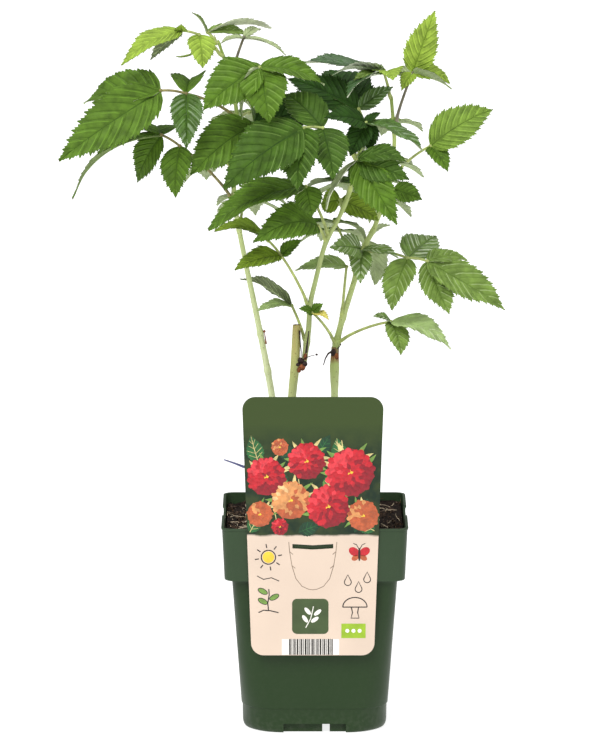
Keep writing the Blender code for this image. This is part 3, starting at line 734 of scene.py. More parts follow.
@dataclass
class Pot:
    """The square pot: a tapering body, a deep collar with a lip, a foot and its notches."""

    height: float = 150.0
    rim_half: float = 65.0
    lip: float = 0.5
    lip_height: float = 1.6
    collar_foot_half: float = 63.3
    collar_height: float = 38.0
    body_top_half: float = 58.2
    body_foot_half: float = 51.8
    foot_half: float = 50.9
    foot_height: float = 18.0
    foot_step: float = 0.7
    foot_round: float = 2.0
    wall: float = 1.5
    top_corner: float = 8.0
    foot_corner: float = 27.0
    corner_steps: int = 13
    floor_underside: float = 7.0
    notch_width: float = 44.0
    centre_foot: float = 17.0
    foot_ribs: tuple[Flat, ...] = ((-23.5, 5.4), (10.6, 23.5))
    rib_out: float = 46.0
    rib_thickness: float = 2.5
    drain_radius: float = 5.0
    drain_out: float = 30.0
    rim_notch_length: float = 40.0
    rim_notch_depth: float = 4.0

    @property
    def shelf(self) -> float:
        """The height where the collar starts."""
        return self.height - self.collar_height

    def square(self, half: float, corner: float, z: float) -> list[Vector]:
        """A square ring with round corners.

        Args:
            half: Half its width.
            corner: The radius of its corners.
            z: Its height.

        Returns:
            The points of the ring.
        """
        points = []
        for quarter, (sign_x, sign_y) in enumerate(((1, 1), (-1, 1), (-1, -1), (1, -1))):
            for step in range(self.corner_steps):
                angle = math.radians(90 * quarter + 90 * step / (self.corner_steps - 1))
                points.append(Vector((
                    sign_x * (half - corner) + corner * math.cos(angle),
                    sign_y * (half - corner) + corner * math.sin(angle), z)))
        return points

    def corner(self, z: float) -> float:
        """The body's corner radius at a height."""
        share = min(1.0, z / self.shelf)
        return self.foot_corner + (self.top_corner + 2 - self.foot_corner) * share ** 0.8

    def half(self, z: float) -> float:
        """The body's outer half width at a height above the foot."""
        share = (z - self.foot_height) / (self.shelf - self.foot_height)
        return self.body_foot_half + (self.body_top_half - self.body_foot_half) * share

    def rings(self) -> list[list[Vector]]:
        """The wall's rings, from the floor's underside over the rim to the floor's top.

        Returns:
            The rings in order.
        """
        foot, body, wall = self.foot_half, self.body_foot_half, self.wall
        outer = [
            (foot - wall, self.floor_underside), (foot - self.foot_round - wall, 0.0),
            (foot - self.foot_round, 0.0), (foot - self.foot_round * 0.62, 0.4),
            (foot - self.foot_round * 0.3, 1.6), (foot - 0.2, 3.2), (foot, 5.0),
            (body - self.foot_step - 0.05, self.foot_height - 0.9),
            (body - self.foot_step + 0.15, self.foot_height - 0.5), (body - 0.1, self.foot_height - 0.2),
            (body, self.foot_height + 0.2)]
        outer += [(self.half(z), float(z)) for z in range(30, 110, 10)]
        outer.append((self.body_top_half, self.shelf - 0.5))
        rings = [self.square(half, self.corner(z), z) for half, z in outer]
        rim, lip_foot = self.rim_half - 0.1, self.height - self.lip_height
        collar = [
            (self.collar_foot_half - 1.1, -0.2, self.shelf - 0.05),
            (self.collar_foot_half - 0.35, 0, self.shelf + 0.1),
            (self.collar_foot_half, 0, self.shelf + 0.7),
            (rim - 0.02, -1, lip_foot - 0.5), (rim, -1, lip_foot - 0.25),
            (rim + self.lip * 0.8, -1, lip_foot + 0.1), (rim + self.lip, -1, lip_foot + 0.4),
            (rim + self.lip + 0.1, -1, self.height - 0.4), (rim + self.lip - 0.15, -1, self.height - 0.1),
            (rim + self.lip - 0.5, -1, self.height), (self.rim_half - wall + 0.3, -2, self.height),
            (self.rim_half - wall, -2, self.height - 0.3),
            (self.collar_foot_half - wall, -2, self.shelf + wall + 1),
            (self.body_top_half - wall, -2, self.shelf + wall)]
        rings += [self.square(half, self.top_corner + add, z) for half, add, z in collar]
        inner = [82.0, 50.0, self.foot_height + 1]
        rings += [self.square(self.half(z) - wall, self.corner(z) - 1, z) for z in inner]
        rings.append(self.square(
            body - self.foot_step - wall - 0.4, self.corner(0) - 1, self.floor_underside + wall))
        return rings

    def cutters(self) -> list[bpy.types.Object]:
        """The solids that cut the foot notches, the rim notches and the drain holes.

        Returns:
            The cutters.
        """
        reach, half = self.rim_half + 10, self.notch_width / 2
        under = self.floor_underside - 0.4
        made = [
            block("notch_y", (-half, -reach, -5), (half, reach, under), POT_SKIN),
            block("notch_x", (-reach, -half, -5), (reach, half, under), POT_SKIN)]
        notch, dip = self.rim_notch_length / 2, self.height - self.rim_notch_depth
        above = self.height + 5
        profile = [(-notch, above), (-notch + 5, dip), (notch - 5, dip), (notch, above)]
        for side in (-1, 1):
            ends = sorted((side * (self.rim_half - 6), side * (self.rim_half + 6)))
            made.append(loose(
                "rim_notch", [[(x, y, z) for y, z in profile] for x in ends], POT_SKIN))
        turns = [math.tau * k / 28 for k in range(28)]
        for quarter in range(4):
            out = direction(45 + 90 * quarter, 0) * self.drain_out
            made.append(loose("drain", [
                [(out.x + self.drain_radius * math.cos(a), out.y + self.drain_radius * math.sin(a), z)
                 for a in turns] for z in (self.floor_underside - 3, 14)], POT_SKIN))
        return made

    def feet(self) -> list[bpy.types.Object]:
        """The foot under the middle of the floor, and the ribs behind the notches.

        Returns:
            The foot and the ribs.
        """
        half, top = self.centre_foot / 2, self.floor_underside + self.wall / 2
        made = [block("foot", (-half, -half, 0), (half, half, top), POT_SKIN)]
        for along_x, along_y in ((1, 0), (0, 1), (-1, 0), (0, -1)):
            for ends in self.foot_ribs:
                xs, ys = zip(*(
                    (along_x * end + along_y * out, along_y * end - along_x * out)
                    for end, out in zip(ends, (self.rib_out, self.rib_out - self.rib_thickness))))
                made.append(block("rib", (min(xs), min(ys), 0), (max(xs), max(ys), top), POT_SKIN))
        return made

    def build(self) -> bpy.types.Object:
        """Make the pot.

        Returns:
            The piece.
        """
        made = loose("nursery_pot", self.rings(), POT_SKIN)
        boolean(made, self.cutters(), "DIFFERENCE")
        boolean(made, self.feet(), "UNION")
        made.data.materials.clear()
        made.data.materials.append(POT_SKIN.material())
        made.data.shade_smooth()
        made.data.set_sharp_from_angle(angle=math.radians(32))
        return seat(made, ["pot"])


@dataclass
class Soil:
    """The soil: a crumbly, fibrous top on a block that fills the pot."""

    pot: Pot
    top: float = 140.2
    rings: int = 46
    crumbs: int = 1100
    fibres: int = 520
    chance: random.Random = field(default_factory=lambda: random.Random(SEED + 1))

    @property
    def half(self) -> float:
        """Half the width of the soil's top, up against the collar."""
        return self.pot.collar_foot_half + 0.7 - self.pot.wall - GAP

    def level(self, x: float, y: float) -> float:
        """The height of the soil's surface at a place.

        Args:
            x: The place along X.
            y: The place along Y.

        Returns:
            The height in millimetres.
        """
        lumps = noise.fractal(Vector((x / 9, y / 9, 3.7)), 0.8, 2.1, 5)
        pits = noise.noise(Vector((x / 22, y / 22, 9.1)))
        edge = eased((max(abs(x), abs(y)) - 38) / 24)
        return self.top + 2.6 * lumps + 1.4 * pits + 2.8 * edge

    def body(self) -> Shape:
        """The block and its uneven top.

        Returns:
            The shape.
        """
        pot, shape = self.pot, Shape()
        inset = pot.wall + GAP
        rows = [
            (pot.body_foot_half - pot.foot_step - pot.wall - 0.4 - GAP, pot.corner(0),
             pot.floor_underside + pot.wall + GAP),
            (pot.half(pot.foot_height + 1) - inset - 0.2, pot.corner(pot.foot_height), pot.foot_height + 1),
            (pot.half(82) - inset, pot.corner(82), 82.0),
            (pot.body_top_half - inset, pot.top_corner, pot.shelf + pot.wall + 0.5),
            (pot.collar_foot_half - inset - 0.2, pot.top_corner, pot.shelf + pot.wall + 5),
            (self.half, pot.top_corner, self.top - 5)]
        rings = [pot.square(*row) for row in rows]
        for step in range(self.rings):
            half = self.half * (1 - step / self.rings) ** 0.9
            ring = pot.square(half, min(pot.top_corner, half * 0.9), 0)
            for point in ring:
                point.z = self.level(point.x, point.y)
            rings.append(ring)
        shape.loft(rings, SOIL_DARK)
        return shape

    def spot(self) -> Vector:
        """A chance place on the surface."""
        reach = self.half - 1.5
        x, y = self.chance.uniform(-reach, reach), self.chance.uniform(-reach, reach)
        return Vector((x, y, self.level(x, y)))

    def litter(self) -> Shape:
        """Crumbs of soil that lie on the surface.

        Returns:
            The shape.
        """
        shape, chance = Shape(), self.chance
        golden = math.pi * (3 - math.sqrt(5))
        for _ in range(self.crumbs):
            middle, size = self.spot(), chance.uniform(0.4, 1.5)
            rings = []
            for lift, reach in ((-0.8, 0.55), (-0.1, 1.0), (0.6, 0.75), (0.95, 0.25)):
                ring = []
                for k in range(6):
                    angle = math.tau * k / 6 + golden * lift
                    out = size * reach * chance.uniform(0.75, 1.2)
                    ring.append(middle + Vector((
                        out * math.cos(angle), out * math.sin(angle), size * lift * 0.8)))
                rings.append(ring)
            shape.loft(rings, SOIL_CRUMB)
        return shape

    def threads(self) -> Shape:
        """Fibres and straws that stick out of the surface.

        Returns:
            The shape.
        """
        shape, chance = Shape(), self.chance
        for number in range(self.fibres):
            root = self.spot()
            heading, length = chance.uniform(0, 360), chance.uniform(4, 17)
            rise, bend = chance.uniform(-8, 30), chance.uniform(-70, 70)
            places, place = [], root - Vector((0, 0, 0.6))
            for step in range(7):
                places.append(place.copy())
                place += direction(heading + bend * step / 6, rise - 60 * step / 6 * chance.random()) * length / 6
                place.x = max(-self.half, min(self.half, place.x))
                place.y = max(-self.half, min(self.half, place.y))
                place.z = max(place.z, self.level(place.x, place.y) - 0.3)
            thick = chance.uniform(0.12, 0.4) if number % 9 else chance.uniform(0.5, 0.8)
            radii = [thick * (1 - 0.7 * step / 6) for step in range(7)]
            shape.tube(places, radii, 4, SOIL_STRAW if number % 3 == 0 else SOIL_FIBRE)
        return shape

    def build(self) -> None:
        """Make the soil's pieces."""
        self.body().piece("soil_body", "soil", ["soil"], 80)
        self.litter().piece("soil_crumbs", "soil", (), 50)
        self.threads().piece("soil_fibres", "soil", (), 60)


class Ink(Enum):
    """The printed colours of the label."""

    RED = Finish("ink_red", (186, 24, 38), 0.35, 0.5, 0.12, 3.0, 0.0)
    CRIMSON = Finish("ink_crimson", (138, 12, 30), 0.35, 0.5, 0.12, 3.0, 0.0)
    ROSE = Finish("ink_rose", (216, 56, 66), 0.35, 0.5, 0.12, 3.0, 0.0)
    PEACH = Finish("ink_peach", (232, 188, 132), 0.35, 0.5, 0.10, 3.0, 0.0)
    APRICOT = Finish("ink_apricot", (212, 146, 88), 0.35, 0.5, 0.10, 3.0, 0.0)
    ORANGE = Finish("ink_orange", (180, 88, 50), 0.35, 0.5, 0.12, 3.0, 0.0)
    LEAF = Finish("ink_leaf", (36, 94, 46), 0.4, 0.45, 0.18, 6.0, 0.0)
    DEEP = Finish("ink_deep", (18, 58, 34), 0.4, 0.45, 0.18, 6.0, 0.0)
    FRESH = Finish("ink_fresh", (112, 146, 66), 0.4, 0.45, 0.12, 5.0, 0.0)
    STRAW = Finish("ink_straw", (206, 190, 128), 0.4, 0.45, 0.12, 4.0, 0.0)
    WHITE = Finish("ink_white", (244, 240, 232), 0.4, 0.45, 0.03, 6.0, 0.0)
    BLACK = Finish("ink_black", (34, 28, 26), 0.4, 0.45, 0.05, 6.0, 0.0)
    OLIVE = Finish("ink_olive", (62, 80, 42), 0.4, 0.45, 0.06, 12.0, 0.0)
    LIME = Finish("ink_lime", (150, 184, 40), 0.4, 0.45, 0.05, 8.0, 0.0)
    SUN = Finish("ink_sun", (236, 200, 60), 0.4, 0.45, 0.05, 6.0, 0.0)
    SCORE = Finish("score_line", (134, 116, 100), 0.6, 0.3, 0.1, 6.0, 0.0)


@dataclass(frozen=True)
class CardFinish(Finish):
    """The label's card: an olive band, a dark green picture ground and a cream foot."""

    foot: float = 59.0
    ground_foot: float = 145.5
    ground_top: float = 204.0
    top: float = 244.7

    def make(self) -> bpy.types.Material:
        """Put the material together.

        Returns:
            The new material.
        """
        recipe = Recipe(self.name, self.roughness, self.specular)
        recipe.shader.inputs["Coat Weight"].default_value = 0.05
        ragged = recipe.added(recipe.height(), recipe.cloud(9.0, 3.0), 0.003)
        cream_end = recipe.levels(ragged, (self.ground_foot + 1) * MM, (self.ground_foot + 2.5) * MM)
        band = recipe.levels(recipe.height(), self.ground_top * MM, (self.ground_top + 22) * MM)
        blot = recipe.levels(recipe.cloud(9.0, 2.0), 0.35, 0.65)
        picture = recipe.mixed(blot, (16, 40, 24), (48, 62, 30))
        picture = recipe.mixed(band, picture, (55, 72, 28))
        warm = recipe.levels(recipe.cloud(40.0, 1.0), 0.3, 0.7)
        cream = recipe.mixed(warm, self.base, shaded(self.base, 1.04))
        recipe.colour(recipe.mixed(cream_end, cream, picture))
        recipe.bumped(recipe.cloud(self.grain_size), self.grain, self.grain_depth)
        return recipe.material


CARD = CardFinish("label_card_print", (216, 196, 178), 0.45, 0.3, grain=0.05)


@dataclass
class Label:
    """The card that hangs on the rim by its tongue, and the print on its face."""

    pot: Pot
    thickness: float = 0.8
    top_width: float = 98.0
    foot_width: float = 86.5
    above_rim: float = 94.7
    below_rim: float = 91.0
    corner: float = 9.0
    middle: float = -1.4
    slot_width: float = 28.5
    slot_height: float = 3.2
    slot_below_rim: float = 12.5
    tongue_width: float = 24.0
    tongue_drop: float = 14.0
    chance: random.Random = field(default_factory=lambda: random.Random(SEED + 2))

    def lean(self, z: float) -> float:
        """The Y of the card's back at a height: the collar's slope, carried on."""
        pot = self.pot
        run = pot.collar_height - pot.lip_height - 1.1
        slope = (pot.rim_half - 0.1 - pot.collar_foot_half) / run
        return -(pot.rim_half + pot.lip + GAP) - slope * (z - pot.height)

    def outline(self) -> list[Flat]:
        """The card's outline in X and Z.

        Returns:
            Its points, from the right foot round by the top.
        """
        top, foot = self.pot.height + self.above_rim, self.pot.height - self.below_rim
        half_top, half_foot, c = self.top_width / 2, self.foot_width / 2, self.corner
        corners = [
            (half_foot - c, foot + c, -90), (half_top - c, top - c, 0),
            (-half_top + c, top - c, 90), (-half_foot + c, foot + c, 180)]
        points = []
        for x, z, start in corners:
            for step in range(13):
                angle = math.radians(start + 90 * step / 12)
                points.append((self.middle + x + c * math.cos(angle), z + c * math.sin(angle)))
        return points

    def card(self) -> None:
        """Make the card with its slot and its tongue."""
        back, front = (
            [(x, self.lean(z) - depth, z) for x, z in self.outline()]
            for depth in (0, self.thickness))
        made = loose("label_card", [back, front], CARD)
        pot, half = self.pot, self.slot_width / 2
        slot = pot.height - self.slot_below_rim
        low, high = slot - self.slot_height / 2, slot + self.slot_height / 2
        sag = [
            (self.middle + half * side * share, z - 0.9 * (1 - share * share) + 0.45)
            for z, sides in ((low, 1), (high, -1))
            for side, share in [(s * sides, abs(s)) for s in (-1, -0.5, 0, 0.5, 1)]]
        boolean(made, [loose("slot", [
            [(x, -pot.rim_half + y, z) for x, z in sag] for y in (6, -8)], CARD)], "DIFFERENCE")
        half, sheet = self.tongue_width / 2, self.thickness
        inside, bridge = -pot.rim_half + pot.wall + GAP + 0.2, pot.height + GAP
        boolean(made, [
            block("bridge", (self.middle - half, self.lean(pot.height) - sheet / 2, bridge),
                  (self.middle + half, inside + sheet, bridge + sheet), CARD),
            block("drop", (self.middle - half, inside, pot.height - self.tongue_drop + 9.5),
                  (self.middle + half, inside + sheet, bridge + sheet / 2), CARD)], "UNION")
        made.data.materials.clear()
        made.data.materials.append(CARD.material())
        made.data.shade_smooth()
        made.data.set_sharp_from_angle(angle=math.radians(30))
        seat(made, ["label"])

    def on_face(self, x: float, z: float, proud: float) -> Vector:
        """A place on the card's face, a little proud of it."""
        return Vector((self.middle + x, self.lean(z) - self.thickness - proud, z))

    def patch(
        self, shape: Shape, outline: Sequence[Flat], ink: Ink, proud: float = 0.06,
        dome: float = 0.0,
    ) -> None:
        """Print a patch of one colour.

        Args:
            shape: The shape that it joins.
            outline: Its outline in X and Z, counter-clockwise seen from the front.
            ink: Its colour.
            proud: How far it stands off the card.
            dome: How far its middle stands off its edge.
        """
        count = len(outline)
        front = [self.on_face(x, z, proud) for x, z in outline]
        back = [self.on_face(x, z, -0.1) for x, z in outline]
        faces = [(k, k + count, (k + 1) % count + count, (k + 1) % count) for k in range(count)]
        points = front + back
        if dome:
            mid_x, mid_z = (sum(values) / count for values in zip(*outline))
            inner = [
                self.on_face(mid_x + (x - mid_x) * 0.55, mid_z + (z - mid_z) * 0.55, proud + dome * 0.8)
                for x, z in outline]
            points = points + inner + [self.on_face(mid_x, mid_z, proud + dome)]
            for k in range(count):
                after = (k + 1) % count
                faces.append((k, after, 2 * count + after, 2 * count + k))
                faces.append((2 * count + k, 2 * count + after, 3 * count))
        else:
            faces.append(tuple(range(count)))
        faces.append(tuple(reversed(range(count, 2 * count))))
        shape.add(points, faces, ink.value)

    def line(
        self, shape: Shape, points: Sequence[Flat], ink: Ink, width: float = 0.75,
        proud: float = 0.08,
    ) -> None:
        """Print a line through points, of one width."""
        rings = []
        for i, (x, z) in enumerate(points):
            before, after = points[max(i - 1, 0)], points[min(i + 1, len(points) - 1)]
            along = Vector((after[0] - before[0], after[1] - before[1])).normalized()
            out = (-along.y * width / 2, along.x * width / 2)
            rings.append([
                self.on_face(x + out[0] * side, z + out[1] * side, deep)
                for side, deep in ((1, proud), (-1, proud), (-1, -0.1), (1, -0.1))])
        shape.loft(rings, ink.value)

    @staticmethod
    def arc(
        x: float, z: float, reach_x: float, reach_z: float, start: float = 0.0,
        sweep: float = 360.0, count: int = 20, turn: float = 0.0,
    ) -> list[Flat]:
        """Points along an ellipse or a part of it.

        Args:
            x: The middle along X.
            z: The middle along Z.
            reach_x: Half its width.
            reach_z: Half its height.
            start: Where it starts.
            sweep: How far it goes round.
            count: How many points it has.
            turn: How far the whole ellipse is turned.

        Returns:
            The points.
        """
        ends = count if sweep == 360.0 else count - 1
        cos, sin = math.cos(math.radians(turn)), math.sin(math.radians(turn))
        points = []
        for k in range(count):
            angle = math.radians(start + sweep * k / ends)
            px, pz = reach_x * math.cos(angle), reach_z * math.sin(angle)
            points.append((x + px * cos - pz * sin, z + px * sin + pz * cos))
        return points

    def blossom(self, shape: Shape, x: float, z: float, size: float, inks: Sequence[Ink]) -> None:
        """Print a full, round blossom of many small petals.

        Args:
            shape: The shape that it joins.
            x: Its middle along X.
            z: Its middle along Z.
            size: Half its width.
            inks: Its dark, its middle and its light colour.
        """
        self.patch(shape, self.arc(x, z, size * 0.96, size), inks[0], 0.07)
        petals = round(26 + 3.2 * size)
        for k in range(petals, 0, -1):
            far = math.sqrt(k / petals)
            turn = 137.5 * k
            out = direction(turn, 0) * size * 0.9 * far
            light = 0.5 - 0.35 * out.x / size + 0.4 * out.y / size + self.chance.uniform(-0.3, 0.3)
            ink = inks[0] if light < 0.36 else inks[1] if light < 0.8 else inks[2]
            self.patch(shape, self.arc(
                x + out.x, z + out.y, size * 0.19, size * (0.10 + 0.05 * far), turn=turn, count=8),
                ink, 0.08 + 0.2 * (1 - far), 0.3)
        self.patch(shape, self.arc(x, z, size * 0.13, size * 0.13, count=10), Ink.SUN, 0.34, 0.15)

    def printed_leaf(
        self, shape: Shape, x: float, z: float, length: float, heading: float, ink: Ink,
        rib: Ink,
    ) -> None:
        """Print a toothed leaf with a midrib and side veins.

        Args:
            shape: The shape that it joins.
            x: Its root along X.
            z: Its root along Z.
            length: Its length.
            heading: Where it points, from +X upwards.
            ink: The colour of its blade.
            rib: The colour of its veins.
        """
        along = direction(heading, 0)
        across = direction(heading + 90, 0)
        teeth = 18

        def at(share: float, out: float) -> Flat:
            place = along * share * length + across * out
            return x + place.x, z + place.y

        edge = [
            length * 0.30 * math.sin(math.pi * (k / teeth) ** 0.75) * (1.08 if k % 2 else 0.95)
            for k in range(teeth + 1)]
        right = [at(k / teeth, -edge[k]) for k in range(teeth + 1)]
        left = [at(k / teeth, edge[k]) for k in range(teeth - 1, 0, -1)]
        self.patch(shape, right + left, ink, 0.04)
        self.line(shape, [at(0, 0), at(0.5, 0.2), at(0.94, 0)], rib, 0.5, 0.06)
        for k in range(1, 6):
            for side in (-1, 1):
                reach = edge[min(teeth, round((k / 6 + 0.18) * teeth))] * 0.82
                self.line(shape, [at(k / 6, 0), at(k / 6 + 0.16, side * reach)], rib, 0.3, 0.06)

    def sepals(self, shape: Shape, x: float, z: float, size: float, count: int) -> None:
        """Print the slim, pale sepals that reach out from behind a blossom.

        Args:
            shape: The shape that they join.
            x: The blossom's middle along X.
            z: Its middle along Z.
            size: Half its width.
            count: How many there are.
        """
        for k in range(count):
            heading = 90 + (k - (count - 1) / 2) * 250 / count + self.chance.uniform(-12, 12)
            out, side = direction(heading, 0), direction(heading + 90, 0) * size * 0.13
            root, tip = out * size * 0.7, out * size * self.chance.uniform(1.22, 1.5)
            bend = side * self.chance.uniform(-1.4, 1.4)
            middle = root.lerp(tip, 0.6) + bend * 0.4
            places = (root - side, middle - side * 0.6, tip + bend, middle + side * 0.6, root + side)
            if abs(x + tip.x + bend.x) > 46:
                continue
            self.patch(
                shape, [(x + place.x, z + place.y) for place in places],
                Ink.STRAW if k % 2 else Ink.FRESH, 0.065)

    def picture(self) -> None:
        """Print a full bed of round blossoms over dark leaves and pale stems."""
        leaves, flowers = Shape(), Shape()
        for x, z, length, heading, ink in (
            (-40, 160, 26, 150, Ink.LEAF), (-26, 158, 30, 235, Ink.DEEP), (2, 172, 32, -80, Ink.LEAF),
            (34, 176, 22, 35, Ink.LEAF), (38, 172, 26, -110, Ink.DEEP), (-38, 198, 20, 105, Ink.LEAF),
            (4, 204, 16, 60, Ink.DEEP), (22, 164, 18, -140, Ink.LEAF), (-12, 200, 18, 140, Ink.DEEP),
            (20, 196, 20, 100, Ink.LEAF), (-44, 148, 16, 60, Ink.LEAF), (-10, 148, 17, 20, Ink.DEEP),
            (43, 149, 17, 150, Ink.LEAF), (-22, 178, 18, 95, Ink.DEEP), (10, 176, 17, 75, Ink.LEAF),
        ):
            tip_x = x + length * math.cos(math.radians(heading))
            tip_z = z + length * math.sin(math.radians(heading))
            if abs(tip_x) < 45 and 147 < tip_z < 224:
                rib = Ink.STRAW if ink is Ink.LEAF else Ink.LEAF
                self.printed_leaf(leaves, x, z, length, heading, ink, rib)
        for x, z, foot in ((-28, 176, 152), (-10, 186, 170), (14, 180, 158), (20, 214, 196)):
            self.line(leaves, [(x, z), (x + 1.2, (z + foot) / 2), (x + 3.4, foot)], Ink.STRAW, 0.6, 0.05)
        reds = (Ink.CRIMSON, Ink.RED, Ink.ROSE)
        oranges = (Ink.ORANGE, Ink.ORANGE, Ink.APRICOT)
        pale = (Ink.ORANGE, Ink.APRICOT, Ink.PEACH)
        for x, z, size, inks in (
            (-32.5, 188, 13.5, reds), (-4.5, 199, 13.0, reds), (26, 191, 17.0, reds),
            (-15.5, 171, 13.5, pale), (10.5, 166.5, 15.0, reds), (35, 160, 11.0, oranges),
            (-37, 161, 9.0, oranges), (-23, 209, 6.0, oranges), (-23, 152, 6.0, reds),
        ):
            if size > 6:
                self.sepals(leaves, x, z, size, round(size * 0.6))
            self.blossom(flowers, x, z, size, inks)
        leaves.piece("label_print_leaves", "label_card")
        flowers.piece("label_print_blossoms", "label_card")

    def motifs(self) -> None:
        """Print the small line drawings and plain panels on the cream foot."""
        shape, arc = Shape(), self.arc
        self.line(shape, arc(-31, 130, 5, 5, count=26) + [(-26, 130)], Ink.BLACK)
        self.patch(shape, arc(-31, 130, 4.1, 4.1), Ink.SUN, 0.07)
        for k in range(8):
            out = direction(45 * k + 10, 0)
            self.line(shape, [(-31 + out.x * far, 130 + out.y * far) for far in (6.8, 9.6)], Ink.BLACK)
        self.line(shape, [(-39, 116.5), (-34.5, 114), (-29, 115.2), (-23.5, 112.8)], Ink.BLACK, 0.6)
        self.butterfly(shape, 32.5, 132)
        self.sprout(shape, -31, 90)
        for x, z in ((24.5, 112), (32, 107), (38, 114)):
            drop = arc(x, z, 2.4, 2.4, 150, 240, 15) + [(x, z + 5.4)]
            self.line(shape, drop + drop[:1], Ink.BLACK, 0.6)
        self.line(shape, arc(29.5, 94, 8.5, 7, 0, 180, 15) + [(21, 94), (38, 94)], Ink.BLACK)
        self.line(shape, [
            (27, 94), (27.8, 90), (26.8, 86), (32.4, 86), (31.4, 90), (32, 94)], Ink.BLACK)
        self.badge(shape)
        self.stripes(shape)
        self.scores(shape)
        shape.piece("label_print_motifs", "label_card")

    def butterfly(self, shape: Shape, x: float, z: float) -> None:
        """Print a small red and orange butterfly."""
        for side in (-1, 1):
            self.patch(shape, self.arc(x + side * 3.7, z + 2, 4.0, 2.9, turn=side * 35), Ink.RED, 0.07)
            self.patch(shape, self.arc(x + side * 2.9, z - 2.4, 2.7, 1.9, turn=-side * 30), Ink.ORANGE, 0.07)
            self.line(shape, [(x, z + 3.4), (x + side * 2, z + 7), (x + side * 4.2, z + 8)], Ink.BLACK, 0.5)
        self.patch(shape, self.arc(x, z, 0.85, 4.8), Ink.BLACK, 0.12)

    def sprout(self, shape: Shape, x: float, z: float) -> None:
        """Print a sprout of three leaves on a line of ground."""
        self.line(shape, [(x - 7, z), (x - 3.5, z + 1.7), (x + 1, z + 1.4), (x + 7, z)], Ink.BLACK)
        self.line(shape, [(x, z + 1.2), (x - 0.5, z + 7), (x + 0.5, z + 13), (x + 0.2, z + 17)], Ink.BLACK)
        for side, lift in ((-1, 8.2), (1, 11.2), (-1, 15.4)):
            leaf = self.arc(x + side * 4, z + lift, 3.6, 1.8, turn=side * 28, count=18)
            self.patch(shape, leaf, Ink.FRESH, 0.07)
            self.line(shape, leaf + leaf[:1], Ink.BLACK, 0.45, 0.1)

    def badge(self, shape: Shape) -> None:
        """Print the rounded olive badge with a sprig, and the lime panel with its dots."""
        corners = ((7.5, 78, -90), (7.5, 96.5, 0), (-11, 96.5, 90), (-11, 78, 180))
        badge = [
            point for x, z, start in corners
            for point in self.arc(x, z, 3.5, 3.5, start, 90, 7)]
        self.patch(shape, badge, Ink.OLIVE, 0.07)
        self.line(shape, [(-5, 79), (-1.5, 85.5), (0.5, 94.5)], Ink.WHITE, 0.6, 0.12)
        for x, z, turn in ((-5.4, 85.5, 125), (1.4, 84.9, 35), (-3.6, 91.1, 130), (3.4, 90.1, 40)):
            self.patch(shape, self.arc(x, z, 3.1, 1.4, turn=turn), Ink.WHITE, 0.12)
        self.patch(shape, [(20, 71.5), (37, 71.5), (37, 82), (20, 82)], Ink.LIME, 0.07)
        for x in (24.2, 28.5, 32.8):
            self.patch(shape, self.arc(x, 76.8, 1.4, 1.4, count=14), Ink.WHITE, 0.12)

    def stripes(self, shape: Shape) -> None:
        """Print the white panel of black stripes at the foot."""
        low, high = 59.4, 70.8
        self.patch(shape, [(-21.7, low), (18.5, low), (18.5, high), (-21.7, high)], Ink.WHITE, 0.07)
        x = -16.6
        for k in range(23):
            wide = (1.2, 0.6, 0.95, 0.55)[k % 4]
            self.patch(shape, [(x, low), (x + wide, low), (x + wide, high), (x, high)], Ink.BLACK, 0.12)
            x += wide + (0.5, 0.7, 0.35)[k % 3]

    def scores(self, shape: Shape) -> None:
        """Print the scored line of the tongue, from the slot's ends down to its foot."""
        for side in (-1, 1):
            line = [
                (side * 16.8, 141), (side * 16.2, 134), (side * 14.6, 124), (side * 11.8, 114.5),
                (side * 7.5, 109), (side * 3.0, 106.9), (0.0, 106.5)]
            self.line(shape, line, Ink.SCORE, 0.5, 0.03)
            for x, z in (line[1], line[2]):
                self.line(shape, [(x, z), (x - side * 2.4, z - 2.0)], Ink.SCORE, 0.5, 0.03)

    def build(self) -> None:
        """Make the label's pieces."""
        self.card()
        self.picture()
        self.motifs()


class Blade(NamedTuple):
    """One leaflet: its size, where it points, how far its upper side faces -Y, its tint."""

    length: float
    width: float
    bearing: float
    rise: float
    facing: float = 0.0
    fold: float = 9.0
    arch: float = 0.09
    tint: Tint | None = None


class Stalk(NamedTuple):
    """A straight run of leaf stalk."""

    length: float
    bearing: float
    rise: float


class Leaf(NamedTuple):
    """A compound leaf: its cane, the height it leaves it at, its stalks and leaflets."""

    cane: str
    height: float
    stalk: Stalk
    pair: tuple[Blade, ...]
    rachis: Stalk | None = None
    end: tuple[Blade, ...] = ()
    tint: Tint = Tint.MID


class Rear(NamedTuple):
    """A compound leaf on the far side, whose leaflets follow the common rule."""

    cane: str
    height: float
    stalk: Stalk
    size: float
    tint: Tint = Tint.MID


